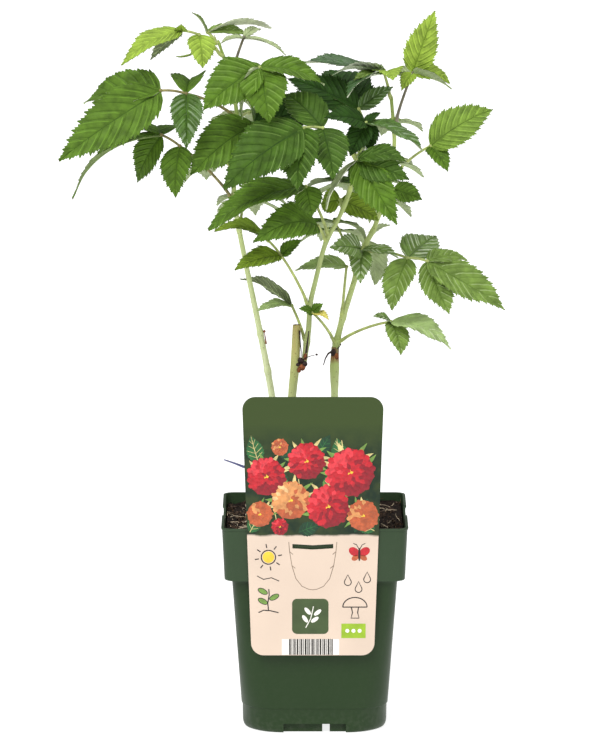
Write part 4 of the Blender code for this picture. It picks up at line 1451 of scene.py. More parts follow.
SOIL_TOP = 141.0
CANES: dict[str, list[Way]] = {
    "cane_left": [
        Way(SOIL_TOP + GAP, -19, 6, 2.6), Way(232, -30.3, 4, 2.3), Way(287, -40.3, 2, 2.0),
        Way(337, -50.3, -2, 1.75), Way(374, -56.4, -5, 1.7), Way(403, -56, -7, 1.6),
        Way(432, -54.5, -10, 1.45), Way(456, -58.2, -11, 1.25), Way(487, -67.5, -12, 0.9),
    ],
    "cane_middle": [
        Way(SOIL_TOP + GAP, -23.3, -12, 3.1), Way(235, -16, -12, 2.95),
        Way(255, -14.1, -12, 3.1), Way(285.5, -12.6, -12, 2.8),
    ],
    "cane_right": [
        Way(SOIL_TOP + GAP, 12.4, 8, 2.7), Way(231, 14.1, 8, 2.5), Way(250, 14.0, 8, 3.3),
        Way(258, 14.2, 8, 3.0), Way(266.5, 14.6, 8, 2.6),
    ],
    "shoot_right": [
        Way(266.5 + GAP, 15, 8, 2.3), Way(284, 19, 8, 2.1), Way(311, 27.4, 10, 1.95),
        Way(336.5, 35, 12, 1.8), Way(353, 43, 13, 1.65), Way(386, 53, 12, 1.5),
        Way(411, 56, 11, 1.4), Way(428, 55, 10, 1.3), Way(446, 53.5, 10, 1.1),
    ],
    "shoot_middle": [
        Way(257, -10.2, -12, 2.0), Way(257.4, -8.2, -12, 2.0), Way(268, -6.3, -11.5, 2.1),
        Way(284, -4.2, -12, 1.9), Way(299, -3.4, -12, 1.8), Way(314, -0.2, -13, 1.7),
        Way(346, 8.2, -15, 1.6), Way(360, 16, -15, 1.45), Way(381, 24.6, -16, 1.35),
        Way(403, 30, -18, 1.2), Way(429, 36, -20, 0.95),
    ],
}

LEAVES: dict[str, Leaf] = {
    "leaf_left_large": Leaf(
        "cane_left", 433, Stalk(47, -144, 24),
        (Blade(41, 29, 86, 6, 0, 32), Blade(41, 25, -88, -60, -12, 25, tint=Tint.GLINTING)),
        Stalk(19, -158, 9), (Blade(86, 37, -164, -33, 70), Blade(64, 38, 151, -10, 38)), Tint.LARGE),
    "leaf_left_lower": Leaf(
        "cane_left", 374, Stalk(61, -146, 42), (Blade(37, 23, -100, -65, -10),),
        Stalk(15, 171, 30), (
            Blade(81, 28, 165, -35, 5, 9, 0.15), Blade(40, 24, 151, -60, 40),
            Blade(50, 28, 98, -4, 0)), Tint.SHADED),
    "leaf_left_inner": Leaf(
        "cane_left", 409, Stalk(29, -48, 45), (
            Blade(59, 38, -155, -34, 45), Blade(50, 18, 145, -80, 60),
            Blade(37, 22, 106, 21, -60), Blade(46, 30, 25, 9, 75, tint=Tint.DEEP))),
    "leaf_crown_left": Leaf(
        "cane_left", 476, Stalk(24, -154, 40),
        (Blade(27, 20, -80, -52, -10), Blade(33, 8, 127, -32, 30, 9, -0.2)),
        Stalk(13, -163, 14), (
            Blade(50, 24, -157, -25, 22), Blade(37, 11, 138, -36, -40, 9, 0.05, Tint.DUSKY),
            Blade(12, 9, -89, 28, 70)), Tint.YOUNG),
    "shoot_tip_left": Leaf(
        "cane_left", 484.5, Stalk(11, 176, 44), (
            Blade(18, 6, -168, 54, 10), Blade(58, 20, 40, 0, -20, 9, 0.07, Tint.GREY),
            Blade(36, 14, 30, -8, 25)),
        tint=Tint.LIGHT),
    "leaf_crown_left_back": Leaf(
        "cane_left", 460, Stalk(30, 6, 71), (
            Blade(34, 8, -25, -17, 0), Blade(19, 8, -146, -7, 15), Blade(36, 8, 76, 3, 50)),
        tint=Tint.GREY),
    "leaf_front_pale": Leaf(
        "cane_left", 451, Stalk(44, -61, 28), (
            Blade(50, 37, -159, -34, 45), Blade(44, 34, -76, -52, 45), Blade(47, 28, 6, -15, 20),
            Blade(39, 24, -136, -62, -25), Blade(52, 30, 88, -14, 0)), tint=Tint.FRESH),
    "leaf_front_centre": Leaf(
        "shoot_middle", 403, Stalk(50, -126, 33),
        (Blade(40, 30, -73, -53, 15), Blade(41, 28, 141, 32, 35)),
        Stalk(15, -147, 5), (Blade(71, 43, -162, -33, 50), Blade(47, 31, -101, -59, -15)),
        Tint.BLUISH),
    "leaf_centre_back_high": Leaf(
        "shoot_middle", 426, Stalk(20, 106, 35), (
            Blade(59, 36, 113, 21, 20), Blade(58, 26, 154, 19, 60),
            Blade(29, 13, 14, 32, 60, tint=Tint.GLINTING)),
        tint=Tint.DEEP),
    "leaf_centre_high": Leaf(
        "shoot_middle", 414, Stalk(22, -77, 52), (
            Blade(36, 22, -145, 10, 45), Blade(45, 25, -20, -22, 6, tint=Tint.GLINTING),
            Blade(14, 9, 38, 26, 15), Blade(26, 18, -143, -58, 60), Blade(20, 16, -52, -77, 50)),
        tint=Tint.DEEP),
    "leaf_front_lobed": Leaf(
        "shoot_middle", 381, Stalk(42, -82, 39), (
            Blade(55, 27, -43, -49, 70, tint=Tint.FRESH), Blade(37, 22, -19, 0, 25, 9, 0.15),
            Blade(41, 12, -155, -53, -5, tint=Tint.GREY),
            Blade(54, 30, 25, -15, 10, tint=Tint.PAINTED_SHEEN), Blade(40, 24, -22, -16, 70),
            Blade(32, 20, -56, -58, 70)), tint=Tint.BLUISH),
    "leaf_right_raised": Leaf(
        "shoot_right", 386, Stalk(50, -49, 33), (
            Blade(51, 29, 8, 29, 55, 9, 0.13), Blade(25, 16, -54, -38, 25, tint=Tint.SHADED),
            Blade(22, 11, 50, -23, 45, tint=Tint.GREY)), tint=Tint.BRIGHT),
    "leaf_crown_right": Leaf(
        "shoot_right", 424, Stalk(41, -30, 68), (
            Blade(47, 23, -23, 70, 75, 14, 0.03), Blade(28, 18, 12, -16, 40, 9, 0.18),
            Blade(20, 11, -119, -31, 40), Blade(12, 10, -169, 0, 60, tint=Tint.GREY),
            Blade(34, 20, -34, -14, -35, 9, 0.05)),
        tint=Tint.YOUNG),
    "leaf_crown_arched": Leaf(
        "shoot_right", 443.5, Stalk(20, -131, 66), (
            Blade(60, 30, -170, 9, 5, 9, 0.04), Blade(45, 20, -144, 4, -25),
            Blade(48, 20, -125, -14, -25), Blade(32, 22, -78, 0, 20, tint=Tint.YOUNG),
            Blade(30, 12, -134, -4, 25, tint=Tint.LIGHT)), tint=Tint.GLOSSY),
    "leaf_right_long": Leaf(
        "shoot_right", 334, Stalk(43, -44, 0),
        (Blade(36, 28, 53, 19, 45, 9, 0.05, Tint.PAINTED_SHEEN), Blade(39, 25, -127, -61, 10)),
        Stalk(16, -32, -3), (
            Blade(64, 31, -12, -30, 35, 9, 0.02), Blade(42, 24, -52, -53, 30, 9, -0.04),
            Blade(38, 18, 40, -4, 25)), Tint.LIGHT),
    "leaf_right_low": Leaf(
        "shoot_right", 270.5, Stalk(46, -28, 22), (
            Blade(27, 20, -66, -50, -15), Blade(47, 27, -16, -21, 14, 9, 0.13, Tint.PALE),
            Blade(18, 9, -135, 20, 40, tint=Tint.PAINTED_SHEEN)), tint=Tint.LIGHT),
    "leaf_centre_low": Leaf(
        "shoot_middle", 346, Stalk(19, -114, 40), (Blade(52, 30, -151, -8, 50, 9, 0.25),)),
    "leaf_centre_drooping": Leaf(
        "shoot_middle", 350, Stalk(52, -118, 48), (
            Blade(75, 40, -166, -21, 12, 9, 0.09), Blade(21, 20, -47, -73, 60))),
    "leaf_left_low": Leaf(
        "shoot_middle", 299, Stalk(47, -138, 55),
        (Blade(36, 22, -157, -12, 30, tint=Tint.OLIVE), Blade(18, 11, 0, 39, 40)),
        Stalk(14, 168, 48), (Blade(39, 23, -168, 13, 15, 9, 0.16, Tint.OLIVE),)),
    "leaf_left_underside": Leaf(
        "shoot_middle", 273, Stalk(30, 125, 52), (
            Blade(42, 25, 165, 26, -30), Blade(27, 15, -153, -2, 15, tint=Tint.PALE)), tint=Tint.DUSKY),
    "leaf_low_small": Leaf(
        "shoot_right", 269, Stalk(43, -120, 38), (
            Blade(12, 8, -40, 39, 55), Blade(12, 8, -148, 22, 50),
            Blade(16, 9, -45, -8, 20, tint=Tint.YELLOWED))),
    "leaf_low_pale": Leaf(
        "shoot_right", 287, Stalk(39, -73, 77), (Blade(37, 20, 171, -5, 17),), tint=Tint.PALE),
    "leaf_centre_glossy": Leaf(
        "shoot_right", 337, Stalk(12, -100, 0), (
            Blade(32, 19, -135, 11, 60), Blade(25, 16, -95, -60, 0), Blade(30, 15, -31, -5, 20)),
        tint=Tint.PAINTED_SHEEN),
    "leaf_right_back": Leaf(
        "shoot_right", 348, Stalk(14, 111, -33), (
            Blade(18, 8, 130, 32, -50), Blade(25, 9, 44, 21, -50), Blade(34, 26, 40, -74, 0))),
    "leaf_centre_olive": Leaf(
        "shoot_middle", 368, Stalk(17, 96, 15), (
            Blade(31, 20, 6, -29, 50), Blade(18, 18, 142, -14, 70)), tint=Tint.OLIVE),
    "leaf_right_inner": Leaf(
        "shoot_right", 376, Stalk(11, 64, 5), (Blade(22, 16, -7, -19, 60),)),
}

REAR_LEAVES: dict[str, Rear] = {
    "leaf_rear_left_high": Rear("cane_left", 428, Stalk(38, 78, 4), 50, Tint.LIGHT),
    "leaf_rear_left": Rear("cane_left", 392, Stalk(42, 102, 4), 46),
    "leaf_rear_left_low": Rear("cane_left", 352, Stalk(40, 84, 24), 40),
    "leaf_rear_middle_high": Rear("shoot_middle", 405, Stalk(56, 112, 6), 56),
    "leaf_rear_middle": Rear("shoot_middle", 372, Stalk(52, 84, 8), 58, Tint.BLUISH),
    "leaf_rear_right_high": Rear("shoot_right", 420, Stalk(52, 92, 0), 40, Tint.BRIGHT),
    "leaf_rear_right": Rear("shoot_right", 398, Stalk(46, 98, -6), 38),
    "leaf_rear_right_low": Rear("shoot_right", 362, Stalk(46, 96, 6), 46, Tint.LIGHT),
    "leaf_rear_low": Rear("shoot_right", 318, Stalk(42, 112, 40), 36),
}
# Turns in bearing and rise that a leaflet tries, in this order, until it is clear
TURNS = [(0, 0)] + [
    (step * side, step * lift)
    for step in (4, 8, 12)
    for side, lift in ((0, 1), (0, -1), (1, 0), (-1, 0), (1, 1), (-1, -1), (1, -1), (-1, 1))
]


@dataclass
class Cane:
    """A cane or a shoot: bark with relief, swollen joints and fine bristles."""

    name: str
    ways: list[Way]
    joints: list[float]
    finish: BarkFinish
    lead: Way | None = None
    cut: bool = False
    sides: int = 20
    step: float = 1.5
    bristle_gap: float = 3.4

    def at(self, height: float) -> tuple[Vector, float]:
        """The middle and the radius at a height.

        Args:
            height: The height in millimetres.

        Returns:
            The place and the radius.
        """
        points = curve_through(self.ways, 2.0)
        for (low, r_low), (high, r_high) in zip(points, points[1:]):
            if low.z <= height <= high.z:
                share = (height - low.z) / (high.z - low.z)
                return low.lerp(high, share), r_low + (r_high - r_low) * share
        return points[-1]

    def swelling(self, z: float) -> float:
        """How much thicker the cane is near its joints, as a share."""
        return sum(0.22 * math.exp(-((z - joint) / 2.6) ** 2) for joint in self.joints)

    def build(self, chance: random.Random) -> None:
        """Make the cane and its bristles.

        Args:
            chance: The source of its small differences.
        """
        ways = [self.lead, *self.ways] if self.lead else self.ways
        points = curve_through(ways, self.step)
        offset = chance.uniform(0, 100)

        def radius(i: int, angle: float) -> float:
            place, plain = points[i]
            ridge = 0.035 * math.sin(5 * angle + place.z / 40)
            rough = 0.05 * noise.noise(Vector((
                math.cos(angle) * 1.4, math.sin(angle) * 1.4, place.z / 6 + offset)))
            left = (len(points) - 1 - i) / 2
            end = 1.0 if self.cut else math.sqrt(min(1.0, 0.1 + left))
            return plain * (1 + ridge + rough + self.swelling(place.z)) * end

        shape = Shape()
        rings = rings_round([place for place, _ in points], self.sides, radius)
        if self.cut:
            height = points[-1][0].z
            rings[-1] = [Vector((p.x, p.y, height + 0.25 * noise.noise(p * 0.9))) for p in rings[-1]]
            shape.loft(rings, self.finish, capped=False)
            middle = points[-1][0]
            rim = [middle.lerp(p, 0.80) for p in rings[-1]]
            dip = [middle.lerp(p, 0.72) - Vector((0, 0, 0.35)) for p in rings[-1]]
            foot = [rings[0][k] for k in reversed(range(self.sides))]
            shape.loft([rings[-1], rim, dip], CUT_RIM, capped=False)
            shape.add(dip, [tuple(range(self.sides))], PITH)
            shape.add(foot, [tuple(range(self.sides))], self.finish)
        else:
            shape.loft(rings, self.finish)
        shape.piece(f"{self.name}_bark", "cane_bark", [self.name], 60)
        self.bristles(points, chance)

    def bristles(self, points: list[tuple[Vector, float]], chance: random.Random) -> None:
        """Make the fine bristles that stand on the bark.

        Args:
            points: The cane's middle and radius.
            chance: The source of their places.
        """
        shape, since = Shape(), 0.0
        for (low, radius), (high, _) in zip(points, points[1:]):
            since += (high - low).length
            if since < self.bristle_gap * chance.uniform(0.4, 1.6) or low.z < SOIL_TOP + 2:
                continue
            since = 0.0
            ahead = (high - low).normalized()
            out = direction(chance.uniform(0, 360), 0)
            out = (out - ahead * out.dot(ahead)).normalized()
            root = low + out * radius * 0.92
            tip = root + (out + ahead * chance.uniform(-0.4, 0.3)) * chance.uniform(0.7, 1.4)
            shape.spike(root, tip, 0.16, BRISTLE)
        if shape.faces:
            shape.piece(f"{self.name}_bristles", "cane_bark")


def bark(name: str, *stops: tuple[float, Colour]) -> BarkFinish:
    """A bark finish with its colours at heights."""
    return BarkFinish(name, (168, 186, 112), 0.5, 0.35, stops=stops)


def make_canes() -> dict[str, Cane]:
    """The canes with their joints and colours.

    Returns:
        Each cane by its solid's name.
    """
    leaves = [*LEAVES.values(), *REAR_LEAVES.values()]
    joints = {name: [leaf.height for leaf in leaves if leaf.cane == name] for name in CANES}
    pale, fresh, green = (216, 223, 180), (190, 204, 134), (150, 176, 84)
    tan, rust, brown = (178, 170, 104), (134, 72, 44), (96, 52, 36)
    root = {name: Way(SOIL_TOP - 4, ways[0].x, ways[0].y, ways[0].radius) for name, ways in CANES.items()}
    return {
        "cane_left": Cane(
            "cane_left", CANES["cane_left"], [*joints["cane_left"], 250, 277],
            bark("bark_left", (140, pale), (240, pale), (300, (202, 213, 158)), (370, fresh), (480, green)),
            root["cane_left"]),
        "cane_middle": Cane(
            "cane_middle", CANES["cane_middle"], [],
            bark("bark_middle", (140, (200, 202, 164)), (215, (190, 196, 146)), (248, (174, 180, 114)),
                 (266, tan), (286, (160, 142, 84))),
            root["cane_middle"], cut=True),
        "cane_right": Cane(
            "cane_right", CANES["cane_right"], [],
            bark("bark_right", (140, (206, 212, 166)), (236, (190, 202, 142)), (255, (166, 180, 108)),
                 (258.5, rust), (266, brown)),
            root["cane_right"], cut=True),
        "shoot_right": Cane(
            "shoot_right", CANES["shoot_right"], joints["shoot_right"],
            bark("bark_shoot_right", (262, (158, 174, 100)), (286, (190, 202, 136)), (346, fresh),
                 (400, (190, 202, 124)), (450, green)),
            Way(262, 14.6, 8, 2.2)),
        "shoot_middle": Cane(
            "shoot_middle", CANES["shoot_middle"], joints["shoot_middle"],
            bark("bark_shoot_middle", (250, (160, 160, 112)), (275, (156, 166, 110)),
                 (310, (172, 186, 124)), (350, fresh), (430, (150, 172, 80))),
            Way(255.4, -11.9, -12, 1.9)),
    }


class Leaflet:
    """One leaflet in full: veins, quilted skin, toothed margin, pale underside."""

    ACROSS = (0.0, 0.03, 0.12, 0.25, 0.39, 0.53, 0.66, 0.78, 0.88, 0.95, 1.0)
    # One vein's share of the margin: the place in it, its small teeth, its bulge, the strip after it
    # Kinds of strip: plain skin, vein, a painted highlight beside the vein, and the bulge, which in some tints
    # takes the painted highlight too.
    SKIN, RIB, STREAK, BULGE = range(4)
    UNIT = (
        (0.0, -1.0, 0.72, SKIN), (0.18, 0.9, 1.0, STREAK), (0.31, -1.0, 1.0, BULGE),
        (0.56, 1.0, 0.85, BULGE), (0.66, -1.0, 0.95, SKIN), (0.84, 0.7, 0.78, SKIN),
        (0.905, 1.0, 0.0, RIB), (0.955, 0.6, 0.0, SKIN))
    THICK = 0.34

    def __init__(
        self, blade: Blade, root: Vector, turn: tuple[float, float], tint: Tint,
        chance: random.Random,
    ) -> None:
        """Set out a leaflet.

        Args:
            blade: Its sizes and direction.
            root: Where it starts.
            turn: The turn in bearing and rise that the rule gave it.
            tint: Its greens.
            chance: The source of its small differences.
        """
        self.blade, self.root, self.tint = blade, root, tint
        self.along, self.side, self.normal = blade_frame(blade, turn)
        self.waves = [(chance.uniform(0.9, 1.9), chance.uniform(0, math.tau)) for _ in range(2)]
        self.bend = chance.uniform(-0.018, 0.018)
        self.twist = chance.uniform(-9, 9)
        self.crinkles = [chance.uniform(0, math.tau) for _ in range(4)]
        self.chance = chance

    def stations(self) -> tuple[np.ndarray, np.ndarray, np.ndarray, np.ndarray]:
        """The rows of the leaflet, which run out along its side veins.

        Returns:
            The share of the margin, the tooth, the bulge and the kind of strip after each row.
        """
        length = self.blade.length
        veins = max(6, min(12, round(self.tint.value.pleats * (5 + length / 11))))
        coarse, fine = 0.5 + 0.02 * length, 0.36 + 0.012 * length
        rows = [(0.0, 0.0, 0.0, self.SKIN)]
        for unit in range(veins):
            for place, small, bulge, strip in self.UNIT:
                margin = math.sqrt(0.25 + 2 * (unit + place) / veins) - 0.5
                if margin < 0.012:
                    continue
                near = eased(margin / 0.14) * (1 - 0.55 * eased((margin - 0.8) / 0.2))
                tooth = (coarse * (place - 0.5) + fine * 0.5 * small) * near
                rows.append((margin, tooth, bulge, strip))
        rows.append((1.0, 0.0, 0.0, self.SKIN))
        return tuple(np.array(values) for values in zip(*rows))

    def surface(self) -> tuple[np.ndarray, np.ndarray, np.ndarray]:
        """The points of both sides.

        Returns:
            The upper points, the lower points, the kind of strip after each row, and how
            far out each column is.
        """
        blade = self.blade
        margin, tooth, bulge, strip = (value[:, None] for value in self.stations())
        half_columns = np.array(self.ACROSS)
        t = np.concatenate((-half_columns[:0:-1], half_columns))[None, :]
        out = np.abs(t)
        start = margin * (0.06 + 0.94 * margin ** 1.3)
        share = start + (margin - start) * out ** 1.32
        half = blade.width / 2 * leaf_shape(margin)
        half = np.maximum(half, 0.12 + 0.34 * (1 - eased(margin / 0.08)))
        edge = eased((out - 0.86) / 0.14)
        across = half * out + tooth * edge
        fold = math.radians(blade.fold)
        lift = blade.arch * blade.length * 4 * share * (1 - share)
        lift = lift + math.sin(fold) * across * (1.2 - 0.2 * out)
        quilt = (0.24 + 0.012 * blade.width) * bulge * eased(out / 0.2) * (1 - 0.45 * out ** 2)
        quilt = quilt + self.crinkle(margin, t) * (0.2 + 0.013 * blade.width) * eased(out / 0.25)
        quilt = quilt * eased(margin / 0.1) * (1 - 0.6 * eased((margin - 0.75) / 0.25))
        groove = 0.55 * (1 - eased(out / 0.14)) * (1 - 0.6 * margin)
        wave = np.where(
            t < 0, np.sin(math.tau * self.waves[0][0] * margin + self.waves[0][1]),
            np.sin(math.tau * self.waves[1][0] * margin + self.waves[1][1]))
        ripple = 0.038 * blade.width * wave * out ** 2 * eased(margin / 0.2)
        roll = np.sin(np.radians(self.twist * share)) * across * np.sign(t)
        droop = 0.02 * blade.length * eased((share - 0.75) / 0.25)
        lift = lift + quilt - groove + ripple + roll - droop
        ahead = share * blade.length + tooth * 0.45 * edge
        aside = np.sign(t) * across * math.cos(fold) + self.bend * blade.length * share ** 2
        frame = [np.array(axis)[None, None, :] for axis in (self.along, self.side, self.normal)]
        upper = np.array(self.root)[None, None, :] + sum(
            axis * value[..., None] for axis, value in zip(frame, (ahead, aside, lift)))
        rib = np.where(out < 0.05, 0.25 + 0.55 * (1 - margin), 0.0)
        rib = np.maximum(rib, 0.22 * (bulge == 0) * (1 - 0.7 * out))
        depth = (self.THICK + rib * (margin < 0.99)) * (1 - 0.5 * eased((out - 0.8) / 0.2))
        lower = upper - frame[2] * depth[..., None]
        return upper, lower, strip[:, 0], out[0]

    def crinkle(self, margin: np.ndarray, t: np.ndarray) -> np.ndarray:
        """The uneven puckers of the skin, from -1 to 1, by the places out and across."""
        first, second, third, fourth = self.crinkles
        runs = self.blade.length / 9
        across = self.blade.width / 11
        coarse = np.sin(runs * 2.3 * margin + across * 1.9 * t + first) * np.sin(
            runs * 1.1 * margin - across * 3.1 * t + second)
        fine = np.sin(runs * 5.9 * margin - across * 4.3 * t + third) * np.sin(
            runs * 3.7 * margin + across * 6.1 * t + fourth)
        return 0.6 * coarse + 0.4 * fine

    def add_to(self, shape: Shape) -> None:
        """Add the leaflet's faces to a shape.

        Args:
            shape: The shape that gathers the mass's leaflets.
        """
        upper, lower, strip, out = self.surface()
        rows, columns = upper.shape[:2]
        number = np.arange(rows * columns).reshape(rows, columns)
        a, b = number[:-1, :-1], number[:-1, 1:]
        c, d = number[1:, 1:], number[1:, :-1]
        top = np.stack((a, b, c, d), axis=-1).reshape(-1, 4)
        under = np.stack((d, c, b, a), axis=-1).reshape(-1, 4) + rows * columns
        low = number + rows * columns
        left = np.stack((number[:-1, 0], number[1:, 0], low[1:, 0], low[:-1, 0]), axis=-1)
        right = np.stack((number[1:, -1], number[:-1, -1], low[:-1, -1], low[1:, -1]), axis=-1)
        foot = np.stack((number[0, 1:], number[0, :-1], low[0, :-1], low[0, 1:]), axis=-1)
        tip = np.stack((number[-1, :-1], number[-1, 1:], low[-1, 1:], low[-1, :-1]), axis=-1)
        greens = self.tint.value
        # Finishes by kind of strip; the fourth, for the bulges, is the painted highlight or plain skin.
        finishes = [greens.upper(), greens.ribs(), greens.streaks()]
        finishes.append(finishes[2 if greens.highlighted_bulges else 0])
        kinds = np.array([shape.slot(finish) for finish in finishes])
        slots = np.tile(kinds[strip[:-1]][:, None], (1, columns - 1))
        reach = (out[:-1] + out[1:]) / 2
        half = columns // 2
        # Painted highlight: a chance share of the strips beside the veins, and of the bulges where the tint says
        # so, keeps the highlight colour; the rest fall back to plain skin.
        highlighted_strips = np.array([
            [self.chance.random() < greens.streaked for _ in range(2)] for _ in strip[:-1]])
        highlighted_strips = np.repeat(highlighted_strips, half, axis=1) & (reach > 0.1)[None, :] & (reach < 0.93)[None, :]
        slots[(strip[:-1] >= self.STREAK)[:, None] & ~highlighted_strips] = kinds[self.SKIN]
        slots[:, reach < 0.02] = kinds[self.RIB]
        slots[-1, :] = shape.slot(LEAF_TIP)
        below = np.full(slots.shape, shape.slot(greens.lower()))
        below[(strip[:-1] == self.RIB)[:, None] & (reach < 0.93)[None, :]] = shape.slot(
            greens.lower_ribs())
        below[:, reach < 0.02] = shape.slot(greens.lower_ribs())
        rim = len(left) + len(right) + len(foot) + len(tip)
        finishes = [
            *slots.reshape(-1).tolist(), *below.reshape(-1).tolist(),
            *[shape.slot(LEAF_MARGIN)] * rim]
        faces = np.concatenate((top, under, left, right, foot, tip)).tolist()
        points = np.concatenate((upper.reshape(-1, 3), lower.reshape(-1, 3))).tolist()
        shape.add(points, faces, finishes)


def blade_frame(blade: Blade, turn: tuple[float, float]) -> tuple[Vector, Vector, Vector]:
    """A leaflet's axes.

    Args:
        blade: The leaflet.
        turn: Its turn in bearing and rise.

    Returns:
        The axis along it, the one across it and the one out of its upper side.
    """
    along = direction(blade.bearing + turn[0], blade.rise + turn[1])
    facing = math.radians(blade.facing)
    up = Vector((0, -math.sin(facing), math.cos(facing)))
    normal = (up - along * up.dot(along)).normalized()
    return along, along.cross(normal), normal


def leaf_shape(share: float | np.ndarray) -> float | np.ndarray:
    """A leaflet's half width, as a share of its widest, at a share of its length."""
    grow, fade = share / WIDEST_AT, (1 - share) / (1 - WIDEST_AT)
    return grow ** BASE_SWELL * fade ** TIP_TAPER


@dataclass
class Mass:
    """A mass of foliage: one compound leaf with its stalk, stipules and leaflets."""

    name: str
    leaf: Leaf
    cane: Cane
    corners: np.ndarray
    chance: random.Random
    stalk_radius: float = 1.05
    rachis_radius: float = 0.9
    knuckle: float = 1.45
    arch: float = 0.05

    def turn_of(self, blade: Blade, hub: Vector) -> tuple[float, float] | None:
        """The turn that brings a leaflet's tip onto a corner of the mass's solid.

        Args:
            blade: The leaflet.
            hub: Where it starts.

        Returns:
            The turn, or None where the rule skipped the leaflet.
        """
        for turn in TURNS:
            tip = (hub + blade_frame(blade, turn)[0] * blade.length) * MM
            if np.min(np.linalg.norm(self.corners - np.array(tip), axis=1)) < 0.35 * MM:
                return turn
        return None

    def hubs(self) -> list[tuple[Vector, tuple[Blade, ...]]]:
        """The places where leaflets meet, with the leaflets that start there.

        Returns:
            One or two places.
        """
        middle, _ = self.cane.at(self.leaf.height)
        stalk, rachis = self.leaf.stalk, self.leaf.rachis
        hub = middle + direction(stalk.bearing, stalk.rise) * stalk.length
        if not rachis:
            return [(hub, self.leaf.pair)]
        end = hub + direction(rachis.bearing, rachis.rise) * rachis.length
        return [(hub, self.leaf.pair), (end, self.leaf.end)]

    def stalks(self) -> Shape:
        """The leaf's stalk, its rachis, knuckles, stipules and bristles.

        Returns:
            The shape.
        """
        shape, chance = Shape(), self.chance
        middle, radius = self.cane.at(self.leaf.height)
        below, _ = self.cane.at(self.leaf.height - 4)
        axis = (middle - below).normalized()
        out = direction(self.leaf.stalk.bearing, self.leaf.stalk.rise)
        out = (out - axis * out.dot(axis)).normalized()
        hubs = [hub for hub, _ in self.hubs()]
        finish = STALKS.get(self.name, STALK_SKIN)
        start = middle + out * radius * 0.5
        path = self.path(start, hubs[0], out)
        count = len(path)
        radii = [
            self.stalk_radius * (1 + 0.55 * math.exp(-i / 1.6)) - 0.15 * i / count for i in range(count)]
        shape.tube(path, radii, 9, finish)
        if len(hubs) > 1:
            run = self.path(hubs[0], hubs[1])
            shape.tube(run, [self.rachis_radius] * len(run), 9, finish)
            path += run
        for hub in hubs:
            rings = [
                [hub + direction(45 * k, 0) * self.knuckle * math.cos(math.radians(lift))
                 + Vector((0, 0, self.knuckle * math.sin(math.radians(lift)))) for k in range(8)]
                for lift in (-72, -30, 15, 60)]
            shape.loft(rings, finish)
        for side in (-1, 1):
            turned = direction(self.leaf.stalk.bearing + side * 42, self.leaf.stalk.rise + 18)
            root = start + out * radius * 0.6
            tips = [root + turned * step + axis * 0.12 * step * step / 6 for step in (0, 2.5, 5, 7)]
            shape.tube(tips, [0.34, 0.3, 0.2, 0.05], 5, STALK_SKIN)
        for low, high in zip(path[2:], path[3:]):
            if chance.random() < 0.5:
                ahead = (high - low).normalized()
                away = ahead.orthogonal().normalized()
                turn = chance.uniform(0, math.tau)
                away = away * math.cos(turn) + ahead.cross(away) * math.sin(turn)
                root = low + away * self.rachis_radius * 0.7
                shape.spike(root, root + away * chance.uniform(0.6, 1.1), 0.13, BRISTLE)
        return shape

    def path(self, start: Vector, end: Vector, out: Vector | None = None) -> list[Vector]:
        """The arching run of a stalk.

        Args:
            start: Where it starts.
            end: Where it ends.
            out: The way that it leaves its cane, if it starts at one.

        Returns:
            Its points, about three millimetres apart.
        """
        length = (end - start).length
        count = max(4, round(length / 3))
        places = []
        for step in range(count + 1):
            share = step / count
            place = start.lerp(end, share)
            place = place + Vector((0, 0, self.arch * length * 4 * share * (1 - share)))
            if out:
                square = start + out * length * share
                place = place.lerp(square, 0.55 * math.exp(-((share * length) / 4) ** 2))
            places.append(place)
        return places

    def build(self) -> None:
        """Make the mass's stalks and its leaflets."""
        self.stalks().piece(f"{self.name}_stalk", "leaf", [self.name], 70)
        shape = Shape()
        for hub, blades in self.hubs():
            for number, blade in enumerate(blades):
                turn = self.turn_of(blade, hub)
                if turn is None:
                    LOG.info("%s: leaflet %d left out", self.name, number)
                    continue
                tint = blade.tint or self.leaf.tint
                Leaflet(blade, hub, turn, tint, self.chance).add_to(shape)
        shape.piece(f"{self.name}_blades", "leaf", [self.name], 75)


def rear_leaf(rear: Rear, chance: random.Random) -> Leaf:
    """A far leaf by the common rule: a pair, a rachis and three leaflets at its end.

    Args:
        rear: Its cane, stalk and size.
        chance: The same source of small differences as the solids have.

    Returns:
        The leaf in full.
    """
    bearing, size = rear.stalk.bearing, rear.size

    def blade(length: float, turn: float, rise: float) -> Blade:
        wobble = chance.uniform(-7, 7)
        grown = length * size * chance.uniform(0.92, 1.05)
        return Blade(grown, grown * 0.6, bearing + turn + wobble, rise + wobble, 0)

    pair = (blade(0.78, 62, -22), blade(0.78, -62, -22))
    end = (blade(1.0, 0, -26), blade(0.72, 68, -14), blade(0.72, -68, -14))
    rachis = Stalk(size * 0.3, bearing, rear.stalk.rise - 14)
    return Leaf(rear.cane, rear.height, rear.stalk, pair, rachis, end, rear.tint)


